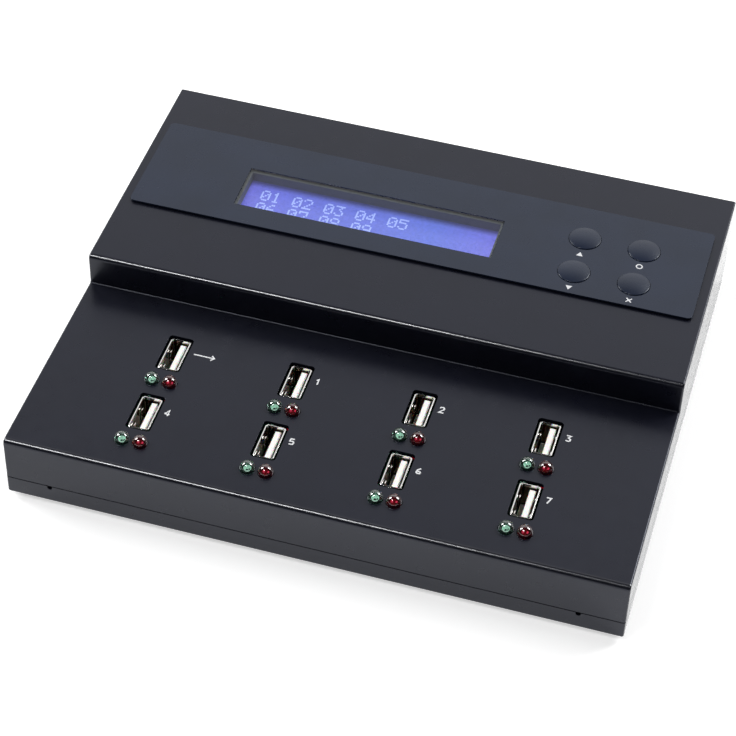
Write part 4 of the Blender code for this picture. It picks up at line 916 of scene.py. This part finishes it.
@dataclass(frozen=True)
class Lamps:
    """A green and a red lamp in front of each socket."""

    length: float = 8.6 * MM
    rim: float = 0.3 * MM
    rim_height: float = 1.0 * MM
    dome_steps: int = 16
    steps: int = 64
    lead: float = 0.25 * MM
    lead_reach: float = 1.27 * MM
    lead_top: float = 1.6 * MM
    post_foot: float = 1.4 * MM
    post_gap: float = 0.3 * MM
    post_drop: float = 0.2 * MM
    cup_radius: float = 0.76 * MM
    cup_shares: Place = (0.7, 0.94, 0.6)
    cup_depth: float = 0.3 * MM
    cup_drop: float = 0.1 * MM
    cup_floor: float = 0.25 * MM
    cup_lip: float = 0.05 * MM
    cup_steps: int = 32
    die: float = 0.2 * MM
    die_drop: float = 0.6
    # place, size and shape of the red lamp's two painted glints
    core_place: Point = (0.42 * MM, 0.3 * MM)
    core_radius: float = 0.22 * MM
    core_taper: float = 0.7
    core_crown: float = 0.05 * MM
    core_steps: int = 16

    def build(self) -> None:
        """Builds every lamp."""
        for index in range(SOCKET_COUNT):
            for colour, finish in (("green", GREEN_LENS), ("red", RED_LENS)):
                self.lamp(f"led_{colour}_{index}", finish, colour)
        LOG.info("lamps: %d green and %d red", SOCKET_COUNT, SOCKET_COUNT)

    def lamp(self, node: str, finish: Finish, colour: str) -> None:
        """Builds one lamp.

        Args:
            node: the solid it stands for.
            finish: its tinted epoxy.
            colour: green or red.
        """
        low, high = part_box(node)
        middle = middle_of(node)
        radius = (high.x - low.x) / 2 - self.rim
        axis = Vector((middle.x, middle.y, high.z - self.length))
        turns = [math.pi / 2 * k / self.dome_steps for k in range(self.dome_steps)]
        centre = self.length - radius
        profile = [
            (0.0, 0.0),
            (radius + self.rim, 0.0),
            (radius + self.rim, self.rim_height),
            (radius, self.rim_height),
            *((radius * math.cos(t), centre + radius * math.sin(t)) for t in turns),
            (0.0, self.length),
        ]
        lens = Shape().lathe(axis, profile, self.steps).finish(f"{node}_lens", finish)
        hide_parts(node)
        self.core(node, axis, centre - self.cup_drop, axis.z - low.z, colour)

    def core(self, node: str, axis: Vector, height: float, lead: float, colour: str) -> None:
        """Builds the leads and the cup inside a lamp, with the chip in a green lamp or two painted glints
        in a red one. The cup's glow is painted light, and the leads' dark grey is painted shade.

        Args:
            node: the solid it belongs to.
            axis: middle of the lamp's base.
            height: height of the cup's rim over the base.
            lead: length of the leads under the base.
            colour: green or red.
        """
        half = self.lead
        metal = Shape()
        for side in (-1, 1):
            reach = side * self.lead_reach
            inner, outer = sorted((side * self.post_gap, reach + side * half))
            top = height - (self.cup_depth + self.cup_floor if side < 0 else self.post_drop)
            for low, high, foot, head in (
                (reach - half, reach + half, -lead, self.lead_top),
                (inner, outer, self.post_foot, top),
            ):
                metal.block(axis + Vector((low, -half, foot)), axis + Vector((high, half, head)))
        # painted shade: the leads are given a dark grey instead of their silver
        metal.finish(f"{node}_leads", PAINTED_DARK_LEAD)
        cup, drop = self.cup_radius, self.cup_depth
        base, lip, well = (share * cup for share in self.cup_shares)
        bowl = (
            (0.0, -drop - self.cup_floor),
            (base, -drop - self.cup_floor + self.cup_lip),
            (cup, -self.cup_lip),
            (lip, 0.0),
            (well, -drop),
            (0.0, -drop),
        )
        rim = axis + Vector((0.0, 0.0, height))
        # painted light: the cup glows though the lamp is off
        finish = GREEN_PAINTED_GLOW if colour == "green" else RED_PAINTED_GLOW
        Shape().lathe(rim, bowl, self.cup_steps).finish(f"{node}_cup", finish)
        if colour == "green":
            spot = Shape().block(
                rim + Vector((-self.die, -2 * self.die, -drop)),
                rim + Vector((self.die, 0.0, -self.die_drop * drop)),
            )
            spot.finish(f"{node}_die", CHIP_SPOT)
            return
        # painted glints: two small glowing tips in the red cup
        spots = Shape()
        size, crown = self.core_radius, self.core_crown
        tip = ((0.0, -drop), (size, -drop), (self.core_taper * size, 0.0), (0.0, crown))
        for side in (-1, 1):
            place = rim + Vector((side * self.core_place[0], self.core_place[1], 0.0))
            spots.lathe(place, tip, self.core_steps)
        spots.finish(f"{node}_painted_glints", RED_PAINTED_GLINTS)


DIGIT_DOTS: dict[str, tuple[str, ...]] = {
    "0": ("01110", "10001", "10011", "10101", "11001", "10001", "01110"),
    "1": ("00100", "01100", "00100", "00100", "00100", "00100", "01110"),
    "2": ("01110", "10001", "00001", "00010", "00100", "01000", "11111"),
    "3": ("11111", "00010", "00100", "00010", "00001", "10001", "01110"),
    "4": ("00010", "00110", "01010", "10010", "11111", "00010", "00010"),
    "5": ("11111", "10000", "11110", "00001", "00001", "10001", "01110"),
    "6": ("00110", "01000", "10000", "11110", "10001", "10001", "01110"),
    "7": ("11111", "10001", "00001", "00010", "00100", "00100", "00100"),
    "8": ("01110", "10001", "10001", "01110", "10001", "10001", "01110"),
    "9": ("01110", "10001", "10001", "01111", "00001", "00010", "01100"),
}

DIGIT_STROKES: dict[str, tuple[tuple[Point, ...], ...]] = {
    "1": (((0.1, 0.75), (0.35, 1.0), (0.35, 0.0)),),
    "2": (((0.0, 0.8), (0.15, 1.0), (0.45, 1.0), (0.6, 0.8), (0.55, 0.6), (0.0, 0.0), (0.65, 0.0)),),
    "3": (((0.0, 1.0), (0.6, 1.0), (0.28, 0.6), (0.6, 0.42), (0.6, 0.15), (0.4, 0.0), (0.0, 0.08)),),
    "4": (((0.48, 0.0), (0.48, 1.0), (0.0, 0.3)), ((0.0, 0.3), (0.7, 0.3))),
    "5": (((0.58, 1.0), (0.08, 1.0), (0.03, 0.55), (0.42, 0.6), (0.6, 0.38), (0.5, 0.05), (0.0, 0.03)),),
    "6": (
        ((0.5, 1.0), (0.1, 0.6), (0.02, 0.2), (0.25, 0.0), (0.52, 0.06), (0.58, 0.36)),
        ((0.58, 0.36), (0.04, 0.42)),
    ),
    "7": (((0.0, 1.0), (0.62, 1.0), (0.22, 0.0)),),
}


@dataclass(frozen=True)
class Display:
    """Display window: clear lens, dark frame, lit glass and its digits."""

    edge: float = 0.12 * MM
    glass: Colour = (0.02, 0.03, 0.12)
    first_left: float = -52.6 * MM
    row_middles: Point = (38.85 * MM, 32.9 * MM)
    rows: tuple[str, str] = ("01 02 03 04 05", "06 07 08 09 ")
    pitch: float = 3.475 * MM
    dot_pitch: Point = (0.6 * MM, 0.7 * MM)
    dot: Point = (0.53 * MM, 0.63 * MM)
    dot_height: float = 0.06 * MM

    def build(self) -> None:
        """Dresses window and glass and sets the digits."""
        carry("lcd_lens", CLEAR)
        carry("lcd_frame", FRAME_PLASTIC, self.edge)
        carry("lcd_bezel", BEZEL_STEEL)
        low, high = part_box("lcd_lens")
        glow = Backlight("display_blue", self.glass, 0.3, left=low.x, right=high.x, rear=high.y)
        carry("lcd_glass", glow)
        self.digits()
        LOG.info("display: window, frame, glass and %d rows of digits", len(self.rows))

    def digits(self) -> None:
        """Sets the rows of dot-matrix digits on the glass."""
        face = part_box("lcd_glass")[1].z
        dots = Shape()
        for text, middle in zip(self.rows, self.row_middles):
            for place, mark in enumerate(text):
                left = self.first_left + place * self.pitch
                lines = DIGIT_DOTS.get(mark, ())
                for row, line in enumerate(lines):
                    y = middle + (len(lines) // 2 - row) * self.dot_pitch[1]
                    for column in (k for k, lit in enumerate(line) if lit == "1"):
                        self.lit(dots, left + (column + 0.5) * self.dot_pitch[0], y, face)
        dots.finish("display_digits", DISPLAY_TEXT)

    def lit(self, dots: Shape, x: float, y: float, face: float) -> None:
        """Adds one lit dot.

        Args:
            dots: the dots so far.
            x: its middle.
            y: its middle.
            face: height of the glass's face.
        """
        width, depth, rise = self.dot[0] / 2, self.dot[1] / 2, self.dot_height / 2
        dots.block((x - width, y - depth, face - rise), (x + width, y + depth, face + rise))


@dataclass(frozen=True)
class ControlPanel:
    """Film panel on the upper deck, with the marks beside its buttons."""

    edge: float = 0.15 * MM
    mark_drop: float = 7.35 * MM
    mark_size: float = 1.05 * MM
    mark_base: float = 0.8
    mark_tip: float = 0.9
    ring: float = 0.85
    line: float = 0.38 * MM
    print_height: float = 0.02 * MM

    def build(self) -> None:
        """Dresses the panel and prints the marks."""
        panel = carry("control_panel", PANEL_FILM, self.edge)
        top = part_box("control_panel")[1].z - self.print_height / 2
        size, line, ink = self.mark_size, self.line, self.print_height
        marks = Shape()
        for key, way in (("up", 1), ("down", -1)):
            x, y = self.spot(key)
            base, tip = y - way * self.mark_base * size, y + way * self.mark_tip * size
            marks.plate(((x - way * size, base), (x + way * size, base), (x, tip)), top, ink)
        ring = circle(RING_STEPS, self.ring * size, self.spot("ok"))
        marks.stroke(ring, line, top, ink, closed=True)
        x, y = self.spot("esc")
        reach = self.mark_base * size
        for layer, side in enumerate((-1, 1)):
            bar = ((x - reach, y - side * reach), (x + reach, y + side * reach))
            marks.stroke(bar, line, top + layer * OVERPRINT, ink)
        marks.finish("panel_marks", PRINT_WHITE)
        LOG.info("panel: film and the marks of its buttons")

    def spot(self, key: str) -> Point:
        """Middle of a button's mark."""
        middle = middle_of(f"button_{key}")
        return middle.x, middle.y - self.mark_drop


@dataclass(frozen=True)
class DeckMarks:
    """Numbers printed beside the sockets, and an arrow beside the first one."""

    offset: Point = (5.6 * MM, 0.3 * MM)
    height: float = 2.2 * MM
    line: float = 0.45 * MM
    print_height: float = 0.02 * MM
    shell_drop: float = 0.5 * MM
    arrow_length: float = 6.5 * MM
    arrow_head: float = 0.45

    def build(self) -> None:
        """Prints the numbers and the arrow."""
        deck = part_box("usb_shell_0")[1].z + self.shell_drop - self.print_height / 2
        marks = Shape()
        for index in range(SOCKET_COUNT):
            middle = middle_of(f"usb_shell_{index}")
            x, y = middle.x + self.offset[0], middle.y + self.offset[1]
            if index:
                for layer, points in enumerate(DIGIT_STROKES[str(index)]):
                    path = [(x + u * self.height, y + v * self.height) for u, v in points]
                    marks.stroke(path, self.line, deck + layer * OVERPRINT, self.print_height)
            else:
                self.arrow(marks, x, y + self.height / 2, deck)
        marks.finish("deck_marks", PRINT_WHITE)
        LOG.info("deck: seven numbers and an arrow")

    def arrow(self, marks: Shape, x: float, y: float, deck: float) -> None:
        """Prints an arrow that points away from the socket.

        Args:
            marks: the marks so far.
            x: its tail.
            y: its middle.
            deck: height of the print's underside.
        """
        end = x + self.arrow_length
        head = self.arrow_head * self.height
        marks.stroke(((x, y), (end, y)), self.line, deck, self.print_height)
        barbs = ((end - head, y + head), (end, y), (end - head, y - head))
        marks.stroke(barbs, self.line, deck + OVERPRINT, self.print_height)


@dataclass(frozen=True)
class Buttons:
    """Four domed push buttons over their switches."""

    radius: float = 5.0 * MM
    flange: float = 0.7 * MM
    flange_sheet: float = 0.8 * MM
    rise: float = 0.8 * MM
    edge_rise: float = 0.3 * MM
    rounding: float = 0.3 * MM
    panel_sheet: float = 0.9 * MM
    plunger: float = 1.3 * MM
    dome_steps: int = 18
    rim_steps: int = 6
    steps: int = 96
    edge: float = 0.1 * MM

    def build(self) -> None:
        """Builds the caps and dresses the switches."""
        for body in (Body.UP, Body.OK, Body.DOWN, Body.ESC):
            key = body.value.removesuffix("_button")
            self.cap(key, body)
            carry(f"tact_switch_{key}", SWITCH_BLACK, self.edge)
        LOG.info("buttons: four caps over their switches")

    def cap(self, key: str, body: Body) -> None:
        """Builds one cap.

        Args:
            key: which button.
            body: what it moves with.
        """
        low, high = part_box(f"button_{key}")
        middle = middle_of(f"button_{key}")
        crown, lift = self.radius - self.rounding, self.rise - self.edge_rise
        sphere = (crown**2 + lift**2) / (2 * lift)
        half = math.asin(crown / sphere)
        turns = [half * k / self.dome_steps for k in range(self.dome_steps, 0, -1)]
        dome = [(sphere * math.sin(t), self.rise - sphere * (1 - math.cos(t))) for t in turns]
        bends = [math.pi / 2 * k / self.rim_steps for k in range(self.rim_steps, 0, -1)]
        rim = [
            (crown + self.rounding * math.sin(t), self.edge_rise - self.rounding * (1 - math.cos(t)))
            for t in bends
        ]
        under = -self.panel_sheet
        bottom = under - self.flange_sheet
        foot = low.z - (high.z - self.rise)
        profile = [
            (0.0, foot),
            (self.plunger, foot),
            (self.plunger, bottom),
            (self.radius + self.flange, bottom),
            (self.radius + self.flange, under),
            (self.radius, under),
            *rim,
            *dome,
            (0.0, self.rise),
        ]
        axis = Vector((middle.x, middle.y, high.z - self.rise))
        cap = Shape().lathe(axis, profile, self.steps).finish(f"cap_{key}", BUTTON_CAP, body)
        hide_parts(f"button_{key}")


@dataclass(frozen=True)
class RearPanel:
    """Power inlet and rocker switch."""

    edge: float = 0.15 * MM
    rocker_sharp: float = 25.0
    pivot: Place = (62.0 * MM, 73.319 * MM, 18.4 * MM)
    tilt: float = -10.0
    slope: float = 10.0
    ridge: float = 4.0 * MM
    mark_reach: float = 4.4 * MM
    mark_size: float = 1.3 * MM
    line: float = 0.42 * MM
    print_height: float = 0.03 * MM

    def build(self) -> None:
        """Dresses inlet, pin, switch frame and rocker, and prints the rocker's marks."""
        carry("dc_inlet", DARK_PLASTIC, self.edge)
        carry("dc_inlet_pin", NICKEL)
        carry("power_switch_frame", SWITCH_BLACK, self.edge)
        carry("power_rocker", SWITCH_BLACK, 0.0, self.rocker_sharp)
        self.mark("rocker_mark_on", 1)
        self.mark("rocker_mark_off", -1)
        LOG.info("rear panel: power inlet and rocker switch")

    def mark(self, name: str, side: int) -> None:
        """Prints a bar or a ring on one half of the rocker's face.

        Args:
            name: the piece's name.
            side: 1 for the bar on the +X half, -1 for the ring on the other.
        """
        shape = Shape()
        size = self.mark_size
        if side > 0:
            shape.stroke(((0.0, -size), (0.0, size)), self.line, 0.0, self.print_height)
        else:
            shape.stroke(circle(RING_STEPS, size), self.line, 0.0, self.print_height, closed=True)
        slope = math.radians(self.slope)
        stand = Matrix.Rotation(math.radians(-90), 4, "X")
        lean = Matrix.Rotation(side * slope, 4, "Z")
        reach = side * self.mark_reach
        seat = Matrix.Translation((reach, self.ridge + self.mark_reach * math.tan(slope), 0.0))
        swing = Matrix.Rotation(math.radians(self.tilt), 4, "Z")
        shape.turn(Matrix.Translation(self.pivot) @ swing @ seat @ lean @ stand)
        shape.finish(name, PRINT_WHITE, Body.ROCKER)


@dataclass(frozen=True)
class Boards:
    """Circuit boards inside the case."""

    edge: float = 0.08 * MM
    thickness: float = 1.6 * MM
    mask: Colour = (0.02, 0.11, 0.05)

    def build(self) -> None:
        """Dresses boards, chip and ribbon."""
        for node in ("main_board", "lcd_board", "button_board"):
            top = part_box(node)[0].z + self.thickness
            finish = BoardMask(f"mask_{node}", self.mask, 0.35, mottle_size=4 * MM, top=top)
            carry(node, finish)
        carry("controller_chip", CHIP_BLACK, self.edge)
        carry("ribbon_cable", RIBBON)
        LOG.info("boards: three boards, chip and ribbon")


@dataclass(frozen=True)
class Softbox:
    """A rectangular studio lamp."""

    name: str
    place: Place
    size: Point
    radiance: float
    aim: Place = (0.0, 0.0, 0.02)

    def build(self) -> None:
        """Hangs the lamp, facing its aim."""
        data = bpy.data.lights.new(self.name, "AREA")
        data.shape = "RECTANGLE"
        data.size, data.size_y = self.size
        data.energy = self.radiance * math.pi * self.size[0] * self.size[1]
        lamp = put(self.name, data)
        lamp.location = self.place
        lamp.visible_transmission = False
        along = (Vector(self.aim) - Vector(self.place)).normalized()
        lamp.rotation_euler = (math.asin(along.y), math.atan2(-along.x, -along.z), 0.0)


@dataclass(frozen=True)
class Studio:
    """Camera, floor, surroundings and lamps."""

    lens: float = 117.21
    sensor: float = 36.0
    clip: Point = (0.01, 50.0)
    camera_place: Place = (0.13027, -0.50763, 0.52861)
    camera_turn: Place = (45.008, -1.332, 16.290)
    floor_half: float = 4.0
    floor_tone: float = 0.8
    floor_roughness: float = 0.9
    floor_lift: float = 0.57
    ambient: float = 0.1
    room_tone: float = 0.03
    room_white: float = 1.1
    room_start: float = 0.36
    room_end: float = 0.76
    boxes: tuple[Softbox, ...] = (
        Softbox("left_box", (-1.15, 0.25, 0.95), (0.75, 0.55), 11.0),
        Softbox("right_box", (0.85, 0.8, 0.95), (0.75, 0.55), 11.0),
        Softbox("front_strip", (-0.45, -0.54, 1.3), (0.6, 0.16), 20.0, (-0.45, 0.0, 0.02)),
    )

    def build(self) -> None:
        """Sets up the whole studio."""
        self.camera()
        self.world()
        self.floor()
        for box in self.boxes:
            box.build()
        bpy.context.scene.view_settings.view_transform = "Standard"
        LOG.info("studio: camera, floor, surroundings and %d lamps", len(self.boxes))

    def camera(self) -> None:
        """Places the camera."""
        data = bpy.data.cameras.new("camera")
        data.lens, data.sensor_width = self.lens, self.sensor
        data.clip_start, data.clip_end = self.clip
        camera = put("camera", data)
        camera.location = self.camera_place
        camera.rotation_euler = [math.radians(a) for a in self.camera_turn]
        bpy.context.scene.camera = camera

    def world(self) -> None:
        """White to the eye; for gloss and glass a room, white behind and dark overhead and in front."""
        world = bpy.data.worlds.new("surroundings")
        bpy.context.scene.world = world
        world.use_nodes = True
        nodes = Nodes(world.node_tree)
        seen, ambient = (
            nodes.add("ShaderNodeBackground", {"Color": (*WHITE, 1.0), "Strength": strength}).outputs[0]
            for strength in (1.0, self.ambient)
        )
        ray = nodes.add("ShaderNodeTexCoord").outputs["Generated"]
        depth = nodes.add("ShaderNodeSeparateXYZ", {0: ray}).outputs["Y"]
        tones = ((self.room_start, (self.room_tone,) * 3), (self.room_end, (self.room_white,) * 3))
        room = nodes.add("ShaderNodeBackground", {"Color": nodes.ramp(depth, tones)}).outputs[0]
        direct, bounced = nodes.rays()
        lit = nodes.mixed(direct, nodes.mixed(bounced, ambient, room), seen)
        nodes.add("ShaderNodeOutputWorld", {"Surface": lit})

    def floor(self) -> None:
        """Lays the pale floor, lifted to white where no shadow falls."""
        half = self.floor_half
        data = bpy.data.meshes.new("floor")
        corners = [(-half, -half, 0), (half, -half, 0), (half, half, 0), (-half, half, 0)]
        data.from_pydata(corners, [], [(0, 1, 2, 3)])
        floor = put("floor", data)
        graph = Graph("floor_paper")
        seen = graph.math("MAXIMUM", *graph.rays())
        inputs = {
            "Base Color": (*(self.floor_tone,) * 3, 1.0),
            "Roughness": self.floor_roughness,
            "Specular IOR Level": 0.0,
            "Emission Color": (*WHITE, 1.0),
            "Emission Strength": graph.rescale(seen, 0.0, 1.0, 0.0, self.floor_lift),
        }
        graph.feed(graph.shader, inputs)
        data.materials.append(graph.material)


def main() -> None:
    """Builds every sub-assembly and the studio."""
    logging.basicConfig(level=logging.INFO, format="%(name)s: %(message)s")
    outside = (Housing, Sockets, Lamps, ControlPanel, Display, DeckMarks, Buttons, RearPanel)
    for assembly in (*outside, Boards, Studio):
        assembly().build()


if __name__ == "__main__":
    main()
